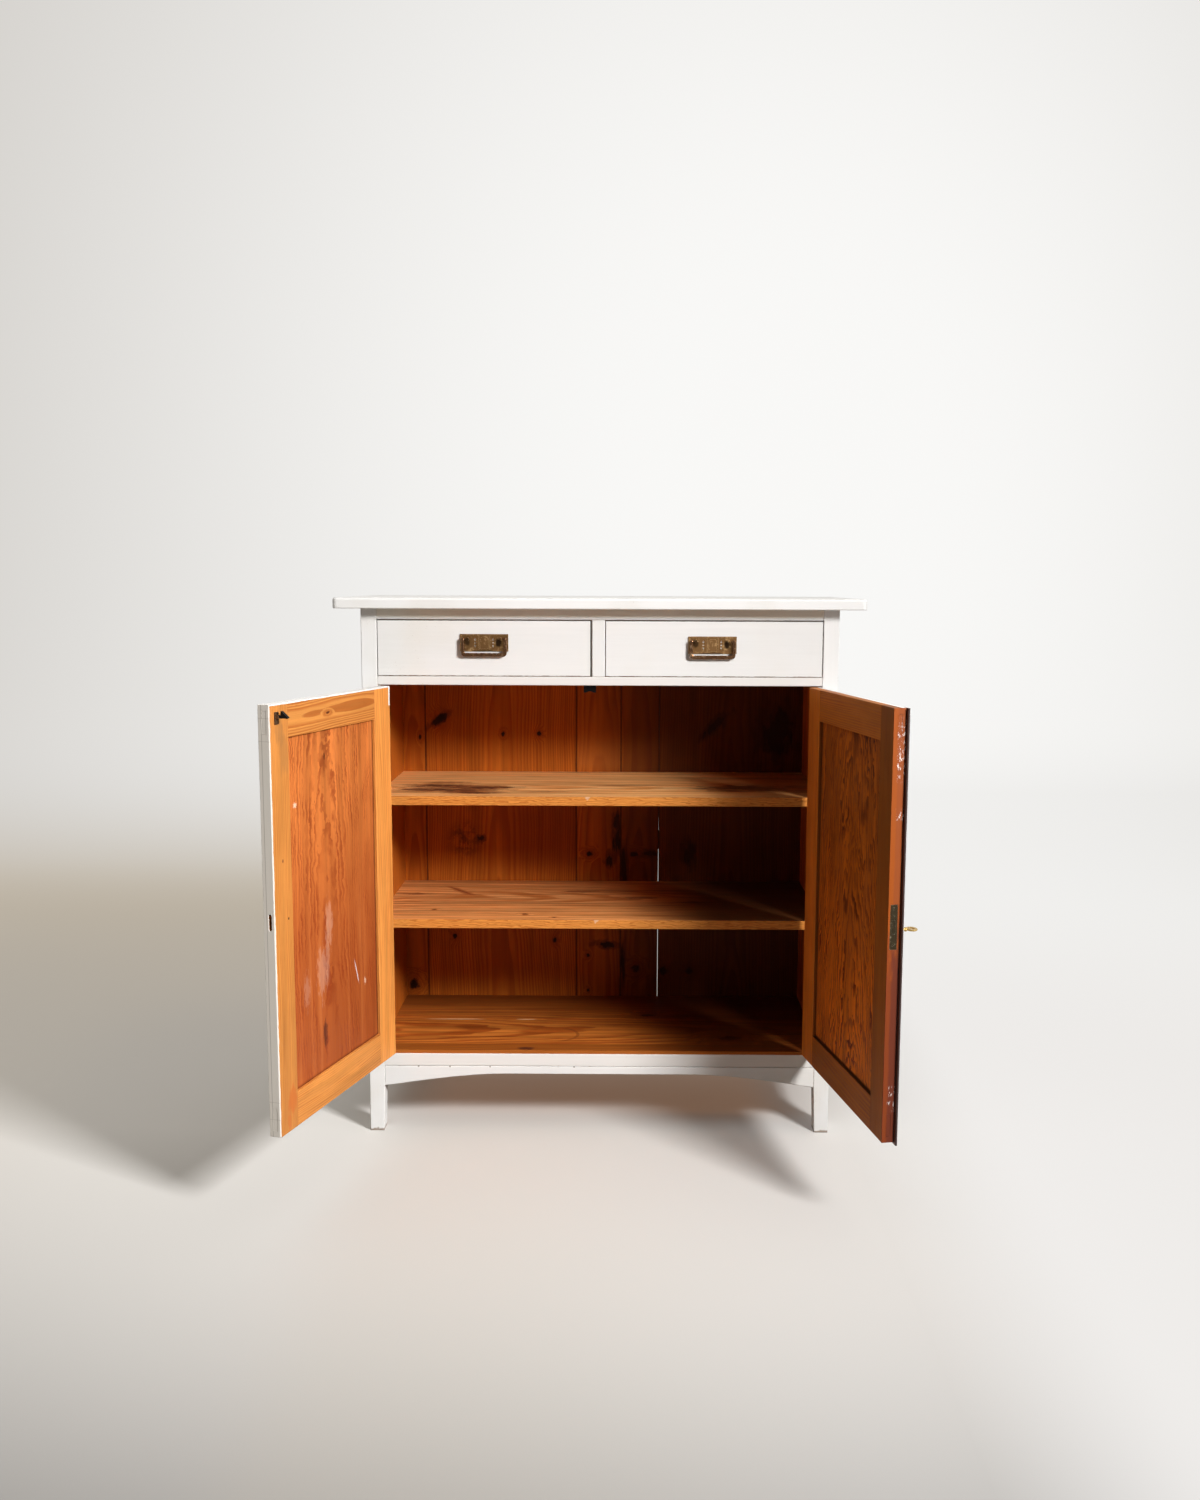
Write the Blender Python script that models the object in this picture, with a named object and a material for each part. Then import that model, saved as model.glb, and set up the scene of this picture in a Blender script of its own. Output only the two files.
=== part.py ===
"""White painted pine cupboard: two drawers over a pair of framed doors that stand open, two shelves inside.

Lengths are metres and angles are degrees. Each piece is written where it lies with the doors shut, in
carcass coordinates: x from the middle to the right, y from the front of the posts to the back, z up.
A piece that moves hangs on an empty on its joint's axis, and the doors' empties are turned to open them.
"""

import math

import bmesh
import bpy
from mathutils import Vector

# Clearances
FIT = 0.0003  # between two pieces that touch
PIN_CLEARANCE = 0.00008  # round a pin in its hole
THROUGH = 0.001  # a cut runs this far past the face it opens

# Carcass
HEIGHT = 1.100
TOP_SIDE_OVERHANG = 0.047
TOP_THICK = 0.021
TOP_FRONT_OVERHANG = 0.044
TOP_BACK_OVERHANG = 0.012
TOP_CORNER_RADIUS = 0.009
TOP_ARRIS = 0.004
TOP_UNDER_ARRIS = 0.0015
CARCASS_WIDTH = 0.948
CARCASS_DEPTH = 0.406
FRONT_PLANE_Y = 0.0136  # puts the origin midway between the open doors' free edges and the back of the top
POST_WIDTH = 0.0312
POST_DEPTH = 0.034
FOOT_TAPER = 0.003
SIDE_THICK = 0.016
SIDE_FRONT_FOOT = 0.022
SIDE_BACK_FOOT = 0.056
SIDE_ARCH_RADIUS = 0.040
HOUSING_DEPTH = 0.005
BACK_THICK = 0.012
BACK_REBATE = 0.008
BACK_BOARD_1_WIDTH = 0.0587
BACK_BOARD_2_WIDTH = 0.3465
BACK_BOARD_3_WIDTH = 0.1028
BACK_BOARD_4_WIDTH = 0.0877
CRACK_WIDTH = 0.0028
CRACK_TOP = 0.600
EASE = 0.0010  # worn edges of the boards

# Rails, from the top down
TOP_RAIL_HEIGHT = 0.0218
RAIL_THICK = 0.022
DRAWER_OPENING_HEIGHT = 0.1127
DRAWER_RAIL_THICK = 0.0172
DRAWER_RAIL_DEPTH = 0.060
DOOR_OPENING_HEIGHT = 0.7613
BOTTOM_RAIL_HEIGHT = 0.026
APRON_GAP = 0.0008
APRON_END_HEIGHT = 0.042
APRON_RISE = 0.026
APRON_FLAT = 0.400
APRON_THICK = 0.018
APRON_STEPS = 8
RAIL_TENON_LENGTH = 0.012
RAIL_TENON_THICK = 0.008
RAIL_TENON_SHOULDER = 0.003
DIVIDER_X = -0.0028
DIVIDER_WIDTH = 0.0258
DIVIDER_TENON_LENGTH = 0.006

# Shelves
SHELF_THICK = 0.0185
SHELF_SETBACK = 0.029
BOTTOM_BOARD_THICK = 0.018
LOWER_SPACE = 0.2571
MIDDLE_SPACE = 0.2379

# Drawers
DRAWER_GAP = 0.0010
DRAWER_FRONT_THICK = 0.020
DRAWER_FRONT_LAP = 0.007
DRAWER_SIDE_THICK = 0.010
DRAWER_SIDE_HEIGHT = 0.096
DRAWER_DEPTH = 0.345
DRAWER_BACK_THICK = 0.010
DRAWER_BACK_INSET = 0.012
DRAWER_BACK_HOUSING = 0.003
DRAWER_BACK_DROP = 0.005
DRAWER_BOTTOM_THICK = 0.006
DRAWER_BOTTOM_RISE = 0.010
DRAWER_GROOVE = 0.004
TAIL_COUNT = 3
TAIL_NECK = 0.0085
TAIL_FLARE = 0.0025
RUNNER_WIDTH = 0.033
RUNNER_THICK = 0.019
GUIDE_HEIGHT = 0.020
CENTRE_RUNNER_WIDTH = 0.070
RUNNER_TENON_WIDTH = 0.030
RUNNER_TENON_THICK = 0.007
RUNNER_TENON_LENGTH = 0.008
BACK_RAIL_HEIGHT = 0.039
BACK_RAIL_THICK = 0.022

# Drawer pulls
PLATE_WIDTH = 0.0955
PLATE_HEIGHT = 0.0342
PLATE_THICK = 0.0016
PLATE_RISE = 0.0108
RIGHT_PULL_SHIFT = (-0.0035, -0.0033)
PLATE_RIM_WIDTH = 0.0018
PLATE_RELIEF = 0.0006
PLATE_RIDGE_RELIEF = 0.0005
PLATE_RIDGE_X = 0.0108
PLATE_RIDGE_WIDTH = 0.0013
PLATE_PANEL_WIDTH = 0.0160
PLATE_PANEL_HEIGHT = 0.0240
PLATE_HOLE_X = 0.0176
PLATE_HOLE_RADIUS = 0.0016
PLATE_DROP_OFFSET = 0.0058
PLATE_DROP_LENGTH = 0.0042
PIVOT_SPACING = 0.0648
PIVOT_RISE = 0.0074
PIVOT_OUT = 0.0062
PIVOT_POST_RADIUS = 0.0032
PIVOT_PIN_RADIUS = 0.0014
PIVOT_PIN_END = 0.0006
BAIL_WIDTH = 0.0905
BAIL_DROP = 0.0350
BAIL_ARM = 0.0062
BAIL_BAR = 0.0075
BAIL_THICK = 0.0056
BAIL_CORNER = 0.0080
BAIL_EASE = 0.0013

# Doors
LEFT_OPEN = 106.9
RIGHT_OPEN = 100.6
DOOR_THICK = 0.0225
DOOR_TOP_GAP = 0.0012
DOOR_BOTTOM_GAP = 0.0046
MEETING_GAP = 0.0020
HINGE_STILE_WIDTH = 0.065
MEETING_STILE_WIDTH = 0.057
DOOR_TOP_RAIL_HEIGHT = 0.0608
DOOR_BOTTOM_RAIL_HEIGHT = 0.0624
PANEL_THICK = 0.010
PANEL_RECESS = 0.0062
PANEL_GROOVE = 0.008
PANEL_ROOM = 0.0012
DOOR_TENON_THICK = 0.0075
DOOR_TENON_HAUNCH = 0.011
MEETING_CHAMFER = 0.0025
ASTRAGAL_LAP = 0.0065
ASTRAGAL_SEAT = 0.016
ASTRAGAL_THICK = 0.004
ASTRAGAL_ROUND = 0.0028
ASTRAGAL_TAIL = 0.004

# Hinges
HINGE_GAP = 0.0016
HINGE_HEIGHT = 0.060
HINGE_INSET = 0.130
HINGE_PIN_PROUD = 0.0046
HINGE_PIN_RADIUS = 0.0015
BARREL_RADIUS = 0.0036
LEAF_THICK = 0.0016
LEAF_WIDTH = 0.019
KNUCKLE_GAP = 0.0004
BARREL_SIDES = 16

# Lock
LOCK_HEIGHT = 0.382  # middle of the lock above the foot of the door
LOCK_CASE_HEIGHT = 0.060
LOCK_CASE_DEPTH = 0.034
LOCK_CASE_THICK = 0.009
FOREND_HEIGHT = 0.078
FOREND_WIDTH = 0.0125
FOREND_THICK = 0.0018
FOREND_MARGIN = 0.0040  # from the inner face of the door
BOLT_HEIGHT = 0.024
BOLT_THICK = 0.005
BOLT_LENGTH = 0.0212
BOLT_SLOT_HEIGHT = 0.029
BOLT_SLOT_WIDTH = 0.0062
BOLT_SLOT_DEPTH = 0.014
KEY_BACKSET = 0.028
KEY_DROP = 0.012
KEY_SHANK_RADIUS = 0.0026
KEY_PROUD = 0.042
KEY_INNER_LENGTH = 0.0160
KEY_BOW_LENGTH = 0.0200
KEY_BOW_WIDTH = 0.0240
KEY_BOW_THICK = 0.0030
KEY_BOW_RIM = 0.0048
KEY_COLLAR_RADIUS = 0.0040
KEY_COLLAR_LENGTH = 0.0025
KEY_BIT_RADIUS = 0.0054
KEY_BIT_LENGTH = 0.0070
KEY_BIT_THICK = 0.0018
KEY_CHAMBER_RADIUS = 0.0061

# Catch on the left door and its strike under the drawer rail
CATCH_INSET = 0.0195
CATCH_DROP = 0.0215
CATCH_PIVOT_OUT = 0.0048
CATCH_PIN_RADIUS = 0.0012
CATCH_PLATE_WIDTH = 0.012
CATCH_PLATE_ABOVE = 0.008
CATCH_PLATE_BELOW = 0.013
CATCH_PLATE_THICK = 0.0016
CATCH_EAR_THICK = 0.0014
CATCH_EAR_RADIUS = 0.0034
HOOK_WIDTH = 0.0056
HOOK_BAR = 0.0050
HOOK_FACE = 0.0107
HOOK_REACH = 0.0250
HOOK_PEAK = 0.0102
HOOK_TIP = 0.0016
STRIKE_WIDTH = 0.0250
STRIKE_THICK = 0.0018
STRIKE_DROP = 0.0163
STRIKE_ARCH = 0.0026
STRIKE_FLANGE = 0.0240
STRIKE_CLEARANCE = 0.0006

# Finishes: colour, roughness, metallic
LOOKS = {
    "white_paint": ((0.86, 0.85, 0.82), 0.45, 0.0),
    "pine": ((0.62, 0.36, 0.14), 0.55, 0.0),
    "red_pine": ((0.48, 0.20, 0.08), 0.50, 0.0),
    "aged_brass": ((0.34, 0.24, 0.11), 0.38, 1.0),
    "black_iron": ((0.03, 0.03, 0.03), 0.60, 0.6),
    "steel": ((0.30, 0.28, 0.25), 0.45, 1.0),
}

# Levels and faces worked out from the sizes above
HALF_WIDTH = CARCASS_WIDTH / 2
OPENING_HALF = HALF_WIDTH - POST_WIDTH
SIDE_FACE = HALF_WIDTH - SIDE_THICK
BACK_FACE = CARCASS_DEPTH - BACK_THICK
UNDER_TOP = HEIGHT - TOP_THICK
DRAWER_TOP_Z = UNDER_TOP - TOP_RAIL_HEIGHT
DRAWER_SEAT_Z = DRAWER_TOP_Z - DRAWER_OPENING_HEIGHT
DOOR_HEAD_Z = DRAWER_SEAT_Z - DRAWER_RAIL_THICK
FLOOR_Z = DOOR_HEAD_Z - DOOR_OPENING_HEIGHT
APRON_TOP_Z = FLOOR_Z - BOTTOM_RAIL_HEIGHT - APRON_GAP
APRON_FOOT_Z = APRON_TOP_Z - APRON_END_HEIGHT
LOWER_SHELF_Z = FLOOR_Z + LOWER_SPACE + SHELF_THICK
UPPER_SHELF_Z = LOWER_SHELF_Z + MIDDLE_SPACE + SHELF_THICK
DOOR_FOOT_Z = FLOOR_Z + DOOR_BOTTOM_GAP
DOOR_TOP_Z = DOOR_HEAD_Z - DOOR_TOP_GAP
DOOR_FREE_X = MEETING_GAP / 2
DOOR_HINGE_X = OPENING_HALF - HINGE_GAP
HINGE_PIN_X = OPENING_HALF - HINGE_GAP / 2
PANEL_BACK_Y = DOOR_THICK - PANEL_RECESS
PANEL_FRONT_Y = PANEL_BACK_Y - PANEL_THICK
LOCK_Y = DOOR_THICK - FOREND_MARGIN - FOREND_WIDTH / 2
LOCK_Z = DOOR_FOOT_Z + LOCK_HEIGHT
KEY_X = DOOR_FREE_X + KEY_BACKSET
KEY_Z = LOCK_Z - KEY_DROP
CATCH_X = -DOOR_FREE_X - CATCH_INSET
CATCH_Z = DOOR_TOP_Z - CATCH_DROP
BACK_RAIL_Y = BACK_FACE - FIT - BACK_RAIL_THICK


class Pivot:
    """An empty on a joint's axis, with the place in carcass coordinates where it stands."""

    def __init__(self, name, place=(0.0, 0.0, 0.0), parent=None, turn=0.0):
        self.place = Vector(place)
        self.empty = bpy.data.objects.new(name, None)
        bpy.context.scene.collection.objects.link(self.empty)
        self.empty.location = self.place
        if parent:
            self.empty.parent = parent.empty
            self.empty.location = self.place - parent.place
        self.empty.rotation_euler.z = math.radians(turn)


def material(look):
    """The Principled material for one of the finishes."""
    found = bpy.data.materials.get(look)
    if found:
        return found
    colour, roughness, metallic = LOOKS[look]
    made = bpy.data.materials.new(look)
    made.use_nodes = True
    shader = made.node_tree.nodes["Principled BSDF"]
    shader.inputs["Base Color"].default_value = (*colour, 1.0)
    shader.inputs["Roughness"].default_value = roughness
    shader.inputs["Metallic"].default_value = metallic
    return made


def solid(bm):
    """An object that holds one closed mesh with its faces pointing out."""
    bmesh.ops.recalc_face_normals(bm, faces=bm.faces)
    mesh = bpy.data.meshes.new("shape")
    bm.to_mesh(mesh)
    bm.free()
    shape = bpy.data.objects.new("shape", mesh)
    bpy.context.scene.collection.objects.link(shape)
    return shape


def ease_edges(bm, edges, width, segments=1):
    """Bevels some edges of a mesh that is still being made."""
    bmesh.ops.bevel(
        bm, geom=edges, offset=width, segments=segments, profile=0.5, affect="EDGES", clamp_overlap=True
    )


def block(corner_a, corner_b, ease=0.0):
    """A box between two corners, given in any order."""
    lo = [min(pair) for pair in zip(corner_a, corner_b)]
    hi = [max(pair) for pair in zip(corner_a, corner_b)]
    bm = bmesh.new()
    bmesh.ops.create_cube(bm, size=1.0)
    for vertex in bm.verts:
        vertex.co = Vector([a + (c + 0.5) * (b - a) for a, b, c in zip(lo, hi, vertex.co)])
    if ease:
        ease_edges(bm, bm.edges[:], ease)
    return solid(bm)


def spot(axis, along, point):
    """A point of a flat outline, lifted to the given place along the axis that the outline is square to."""
    a, b = point
    places = {"x": (along, a, b), "y": (a, along, b), "z": (a, b, along)}
    return Vector(places[axis])


def prism(outline, axis, start, end, ease=0.0, segments=1):
    """A flat outline pushed along an axis, with the edges of both ends eased."""
    bm = bmesh.new()
    face = bm.faces.new([bm.verts.new(spot(axis, start, point)) for point in outline])
    rim = set(face.edges)
    pushed = bmesh.ops.extrude_face_region(bm, geom=[face])["geom"]
    moved = [item for item in pushed if isinstance(item, bmesh.types.BMVert)]
    rim.update(item for item in pushed if isinstance(item, bmesh.types.BMEdge))
    bmesh.ops.translate(bm, vec=spot(axis, end - start, (0.0, 0.0)), verts=moved)
    if ease:
        ease_edges(bm, list(rim), ease, segments)
    return solid(bm)


def arc(centre, radius, start, end, steps):
    """Points along part of a circle, from one angle to another."""
    turns = [math.radians(start + (end - start) * step / steps) for step in range(steps + 1)]
    return [(centre[0] + radius * math.cos(turn), centre[1] + radius * math.sin(turn)) for turn in turns]


def circle(centre, radius, sides):
    """The corners of a regular outline drawn inside a circle."""
    return arc(centre, radius, 0.0, 360.0 * (sides - 1) / sides, sides - 1)


def rod(centre, radius, axis, start, end, sides=BARREL_SIDES):
    """A round bar along an axis."""
    return prism(circle(centre, radius, sides), axis, start, end)


def bore(centre, pin_radius, axis, start, end, sides=BARREL_SIDES):
    """A cutter for the hole that a pin of this radius turns in: its flats clear the pin."""
    radius = (pin_radius + PIN_CLEARANCE) / math.cos(math.pi / sides)
    return rod(centre, radius, axis, start, end, sides)


def group(*shapes):
    """Several shapes that don't touch, as one tool."""
    bm = bmesh.new()
    for shape in shapes:
        bm.from_mesh(shape.data)
        bpy.data.objects.remove(shape)
    return solid(bm)


def combine(piece, tools, operation):
    """Cuts the tools from a piece or joins them to it, and removes them."""
    for tool in tools:
        modifier = piece.modifiers.new(operation, "BOOLEAN")
        modifier.operation = operation
        modifier.solver = "EXACT"
        modifier.object = tool
        shaped = bpy.data.meshes.new_from_object(piece.evaluated_get(bpy.context.evaluated_depsgraph_get()))
        piece.modifiers.remove(modifier)
        old = piece.data
        piece.data = shaped
        bpy.data.meshes.remove(old)
        bpy.data.objects.remove(tool)


def cut(piece, *tools):
    combine(piece, tools, "DIFFERENCE")


def join(piece, *tools):
    combine(piece, tools, "UNION")


def finish(piece, name, look, pivot):
    """Names a piece, gives it its material and hangs it on the empty that carries it."""
    piece.name = name
    piece.data.name = name
    piece.data.materials.clear()
    piece.data.materials.append(material(look))
    piece.data.shade_smooth()
    piece.data.set_sharp_from_angle(angle=math.radians(32.0))
    piece.parent = pivot.empty
    piece.location = -pivot.place


def make_top(carcass):
    """The overhanging top, with round front corners and a rounded upper edge."""
    half = HALF_WIDTH + TOP_SIDE_OVERHANG
    front = -TOP_FRONT_OVERHANG
    back = CARCASS_DEPTH + TOP_BACK_OVERHANG
    radius = TOP_CORNER_RADIUS
    outline = [(half, back), (-half, back)]
    outline += arc((-half + radius, front + radius), radius, 180.0, 270.0, 4)
    outline += arc((half - radius, front + radius), radius, 270.0, 360.0, 4)
    bm = bmesh.new()
    face = bm.faces.new([bm.verts.new((x, y, UNDER_TOP)) for x, y in outline])
    under = list(face.edges)
    pushed = bmesh.ops.extrude_face_region(bm, geom=[face])["geom"]
    upper = [item for item in pushed if isinstance(item, bmesh.types.BMEdge)]
    moved = [item for item in pushed if isinstance(item, bmesh.types.BMVert)]
    bmesh.ops.translate(bm, vec=(0.0, 0.0, TOP_THICK), verts=moved)
    ease_edges(bm, upper, TOP_ARRIS, 2)
    ease_edges(bm, under, TOP_UNDER_ARRIS)
    finish(solid(bm), "top_board", "white_paint", carcass)


def side_outline():
    """The end board seen from the side, with an arch at the floor that leaves two feet."""
    front = POST_DEPTH + FIT
    back = CARCASS_DEPTH
    arch_front = front + SIDE_FRONT_FOOT
    arch_back = back - SIDE_BACK_FOOT
    spring = APRON_FOOT_Z - SIDE_ARCH_RADIUS
    outline = [(front, 0.0), (arch_front, 0.0)]
    outline += arc((arch_front + SIDE_ARCH_RADIUS, spring), SIDE_ARCH_RADIUS, 180.0, 90.0, 5)
    outline += arc((arch_back - SIDE_ARCH_RADIUS, spring), SIDE_ARCH_RADIUS, 90.0, 0.0, 5)
    outline += [(arch_back, 0.0), (back, 0.0), (back, UNDER_TOP - FIT), (front, UNDER_TOP - FIT)]
    return outline


def shelf_levels():
    """Top and thickness of each board that is housed in the ends."""
    return {
        "bottom_board": (FLOOR_Z, BOTTOM_BOARD_THICK, RAIL_THICK + FIT),
        "lower_shelf": (LOWER_SHELF_Z, SHELF_THICK, SHELF_SETBACK),
        "upper_shelf": (UPPER_SHELF_Z, SHELF_THICK, SHELF_SETBACK),
    }


def make_sides(carcass):
    """The end boards, housed for the shelves and rebated for the back, with drawer runners and guides."""
    for name, side in (("left_side", -1), ("right_side", 1)):
        piece = prism(side_outline(), "x", side * SIDE_FACE, side * HALF_WIDTH, EASE)
        runner_front = DRAWER_RAIL_DEPTH + FIT
        runner_back = BACK_RAIL_Y - FIT
        overlap = SIDE_FACE + THROUGH
        runner = block(
            (side * (SIDE_FACE - RUNNER_WIDTH), runner_front, DRAWER_SEAT_Z - RUNNER_THICK),
            (side * overlap, runner_back, DRAWER_SEAT_Z),
        )
        guide = block(
            (side * (OPENING_HALF - DRAWER_GAP + FIT), runner_front, DRAWER_SEAT_Z - THROUGH),
            (side * overlap, runner_back, DRAWER_SEAT_Z + GUIDE_HEIGHT),
        )
        join(runner, guide)
        join(piece, runner)
        for top, thick, _ in shelf_levels().values():
            housing = block(
                (side * (SIDE_FACE - THROUGH), 0.0, top - thick - FIT),
                (side * (SIDE_FACE + HOUSING_DEPTH), BACK_FACE + THROUGH, top + FIT),
            )
            cut(piece, housing)
        rebate = block(
            (side * (SIDE_FACE - THROUGH), BACK_FACE - FIT, -THROUGH),
            (side * (SIDE_FACE + BACK_REBATE), CARCASS_DEPTH + THROUGH, HEIGHT),
        )
        cut(piece, rebate)
        finish(piece, name, "white_paint", carcass)


def rail_ends():
    """Height range and depth of the three rails that are tenoned into the posts."""
    return {
        "top_rail": (DRAWER_TOP_Z, UNDER_TOP - FIT, RAIL_THICK),
        "drawer_rail": (DOOR_HEAD_Z, DRAWER_SEAT_Z, DRAWER_RAIL_DEPTH),
        "bottom_rail": (FLOOR_Z - BOTTOM_RAIL_HEIGHT, FLOOR_Z, RAIL_THICK),
    }


def rail_tenon(side, low, high, room):
    """The tenon at one end of a rail, or its mortise in the post when given room."""
    middle = RAIL_THICK / 2
    root = OPENING_HALF - 2 * THROUGH
    return block(
        (side * root, middle - RAIL_TENON_THICK / 2 - room, low + RAIL_TENON_SHOULDER - room),
        (
            side * (OPENING_HALF + RAIL_TENON_LENGTH + room),
            middle + RAIL_TENON_THICK / 2 + room,
            high - RAIL_TENON_SHOULDER + room,
        ),
    )


def hinge_levels():
    """Heights of the middles of a door's two hinges."""
    return {"lower": DOOR_FOOT_Z + HINGE_INSET, "upper": DOOR_TOP_Z - HINGE_INSET}


def make_posts(carcass):
    """The front posts, mortised for the rails, let in for the hinges and tapered at the foot."""
    for name, side in (("left_front_post", -1), ("right_front_post", 1)):
        inner = side * OPENING_HALF
        outer = side * HALF_WIDTH
        foot = inner + side * FOOT_TAPER
        top = UNDER_TOP - FIT
        outline = [(outer, 0.0), (foot, 0.0), (inner, APRON_FOOT_Z), (inner, top), (outer, top)]
        piece = prism(outline, "y", 0.0, POST_DEPTH, EASE)
        for low, high, _ in rail_ends().values():
            cut(piece, rail_tenon(side, low, high, FIT))
        for level in hinge_levels().values():
            reach = HINGE_HEIGHT / 2 + FIT
            recess = block(
                (side * (OPENING_HALF - THROUGH), -THROUGH, level - reach),
                (side * (OPENING_HALF + LEAF_THICK + FIT), LEAF_WIDTH + FIT, level + reach),
            )
            cut(piece, recess)
        finish(piece, name, "white_paint", carcass)


def divider_tenon(low, high, room):
    """The tenons of the drawer divider in one bar, or the mortises for them when given room."""
    half = DIVIDER_WIDTH / 2 - RAIL_TENON_SHOULDER
    middle = RAIL_THICK / 2
    return block(
        (DIVIDER_X - half - room, middle - RAIL_TENON_THICK / 2 - room, low - DIVIDER_TENON_LENGTH - room),
        (DIVIDER_X + half + room, middle + RAIL_TENON_THICK / 2 + room, high + DIVIDER_TENON_LENGTH + room),
    )


def runner_tenon(start, end, room):
    """A bar of the centre runner's tenon section, or its mortise when given room."""
    half = RUNNER_TENON_WIDTH / 2
    middle = DRAWER_SEAT_Z - DRAWER_RAIL_THICK / 2
    return block(
        (DIVIDER_X - half - room, start, middle - RUNNER_TENON_THICK / 2 - room),
        (DIVIDER_X + half + room, end, middle + RUNNER_TENON_THICK / 2 + room),
    )


def make_rails(carcass):
    """The three front rails with their tenons, and the upright between the drawers."""
    length = OPENING_HALF - FIT
    divider_low = DRAWER_SEAT_Z + FIT
    divider_high = DRAWER_TOP_Z - FIT
    for name, (low, high, depth) in rail_ends().items():
        piece = block((-length, 0.0, low), (length, depth, high), EASE)
        for side in (-1, 1):
            join(piece, rail_tenon(side, low, high, 0.0))
        if name != "bottom_rail":
            cut(piece, divider_tenon(divider_low, divider_high, FIT))
        if name == "drawer_rail":
            mortise_start = DRAWER_RAIL_DEPTH - RUNNER_TENON_LENGTH - FIT
            cut(piece, runner_tenon(mortise_start, DRAWER_RAIL_DEPTH + THROUGH, FIT))
        finish(piece, name, "white_paint", carcass)
    half = DIVIDER_WIDTH / 2
    divider = block(
        (DIVIDER_X - half, 0.0, divider_low), (DIVIDER_X + half, RAIL_THICK, divider_high), EASE
    )
    join(divider, divider_tenon(divider_low, divider_high, 0.0))
    finish(divider, "drawer_divider", "white_paint", carcass)


def make_apron(carcass):
    """The arched board under the bottom rail: flat in the middle, sweeping down to the posts."""
    end = OPENING_HALF - FIT
    flat = APRON_FLAT / 2
    sweep = []
    for step in range(APRON_STEPS + 1):
        share = step / APRON_STEPS
        drop = APRON_RISE * (1.0 - math.cos(share * math.pi / 2)) ** 0.85
        sweep.append((flat + (end - flat) * share, APRON_FOOT_Z + APRON_RISE - drop))
    outline = [(-end, APRON_TOP_Z), (end, APRON_TOP_Z)]
    outline += sweep[::-1]
    outline += [(-x, z) for x, z in sweep]
    finish(prism(outline, "y", 0.0, APRON_THICK, EASE), "apron", "white_paint", carcass)


def make_shelves(carcass):
    """The bottom board and two shelves, housed in the ends and notched round the front posts."""
    back = BACK_FACE - FIT
    end = SIDE_FACE + HOUSING_DEPTH - FIT
    notch_x = OPENING_HALF - FIT
    notch_y = POST_DEPTH + FIT
    for name, (top, thick, front) in shelf_levels().items():
        outline = [(-end, back), (-end, notch_y), (-notch_x, notch_y), (-notch_x, front)]
        outline += [(notch_x, front), (notch_x, notch_y), (end, notch_y), (end, back)]
        finish(prism(outline, "z", top - thick, top, EASE), name, "pine", carcass)


def make_back(carcass):
    """The upright back boards, with a shrinkage crack beside the last one that opens towards the floor."""
    edge = SIDE_FACE + BACK_REBATE - FIT
    bounds = [-edge]
    for width in (BACK_BOARD_1_WIDTH, BACK_BOARD_2_WIDTH, BACK_BOARD_3_WIDTH, BACK_BOARD_4_WIDTH):
        bounds.append(bounds[-1] + width)
    bounds.append(edge)
    low = APRON_FOOT_Z
    high = UNDER_TOP - FIT
    for number in range(len(bounds) - 1):
        left = bounds[number] + (FIT / 2 if number else 0.0)
        right = bounds[number + 1] - (FIT / 2 if number < len(bounds) - 2 else 0.0)
        foot = right
        if number == len(bounds) - 3:
            foot = bounds[number + 1] - CRACK_WIDTH
        outline = [(left, low), (foot, low), (right, CRACK_TOP), (right, high), (left, high)]
        piece = prism(outline, "y", BACK_FACE, CARCASS_DEPTH, EASE / 2)
        finish(piece, f"back_board_{number + 1}", "pine", carcass)


def make_runners(carcass):
    """The rail across the back under the drawers, and the middle runner with the guide between them."""
    length = SIDE_FACE - FIT
    rail_top = DRAWER_SEAT_Z
    rail = block(
        (-length, BACK_RAIL_Y, rail_top - BACK_RAIL_HEIGHT), (length, BACK_FACE - FIT, rail_top), EASE
    )
    cut(rail, runner_tenon(BACK_RAIL_Y - THROUGH, BACK_RAIL_Y + RUNNER_TENON_LENGTH + FIT, FIT))
    finish(rail, "drawer_back_rail", "pine", carcass)
    half = CENTRE_RUNNER_WIDTH / 2
    start = DRAWER_RAIL_DEPTH + FIT
    end = BACK_RAIL_Y - FIT
    runner = block(
        (DIVIDER_X - half, start, DRAWER_SEAT_Z - RUNNER_THICK), (DIVIDER_X + half, end, DRAWER_SEAT_Z)
    )
    rib = DIVIDER_WIDTH / 2 + DRAWER_GAP - FIT
    guide = block(
        (DIVIDER_X - rib, start, DRAWER_SEAT_Z - THROUGH),
        (DIVIDER_X + rib, end, DRAWER_SEAT_Z + GUIDE_HEIGHT),
    )
    tongue = runner_tenon(start - FIT - RUNNER_TENON_LENGTH, end + FIT + RUNNER_TENON_LENGTH, 0.0)
    join(runner, guide, tongue)
    finish(runner, "centre_runner", "pine", carcass)


def make_strike(carcass):
    """The iron strike under the drawer rail that the left door's catch hooks behind."""
    half = STRIKE_WIDTH / 2
    back = DOOR_THICK + HOOK_FACE - STRIKE_CLEARANCE
    front = back - STRIKE_THICK
    seat = DOOR_HEAD_Z - FIT
    foot = seat - STRIKE_DROP
    arch_half = half * 0.6
    outline = [(CATCH_X - half, seat), (CATCH_X - half, foot), (CATCH_X - arch_half, foot)]
    for step in range(1, 6):
        share = step / 6
        rise = STRIKE_ARCH * math.sin(share * math.pi)
        outline.append((CATCH_X - arch_half + 2 * arch_half * share, foot + rise))
    outline += [(CATCH_X + arch_half, foot), (CATCH_X + half, foot), (CATCH_X + half, seat)]
    piece = prism(outline, "y", front, back)
    flange = block(
        (CATCH_X - half, front, seat - STRIKE_THICK), (CATCH_X + half, front + STRIKE_FLANGE, seat)
    )
    join(piece, flange)
    finish(piece, "catch_strike", "black_iron", carcass)


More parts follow.
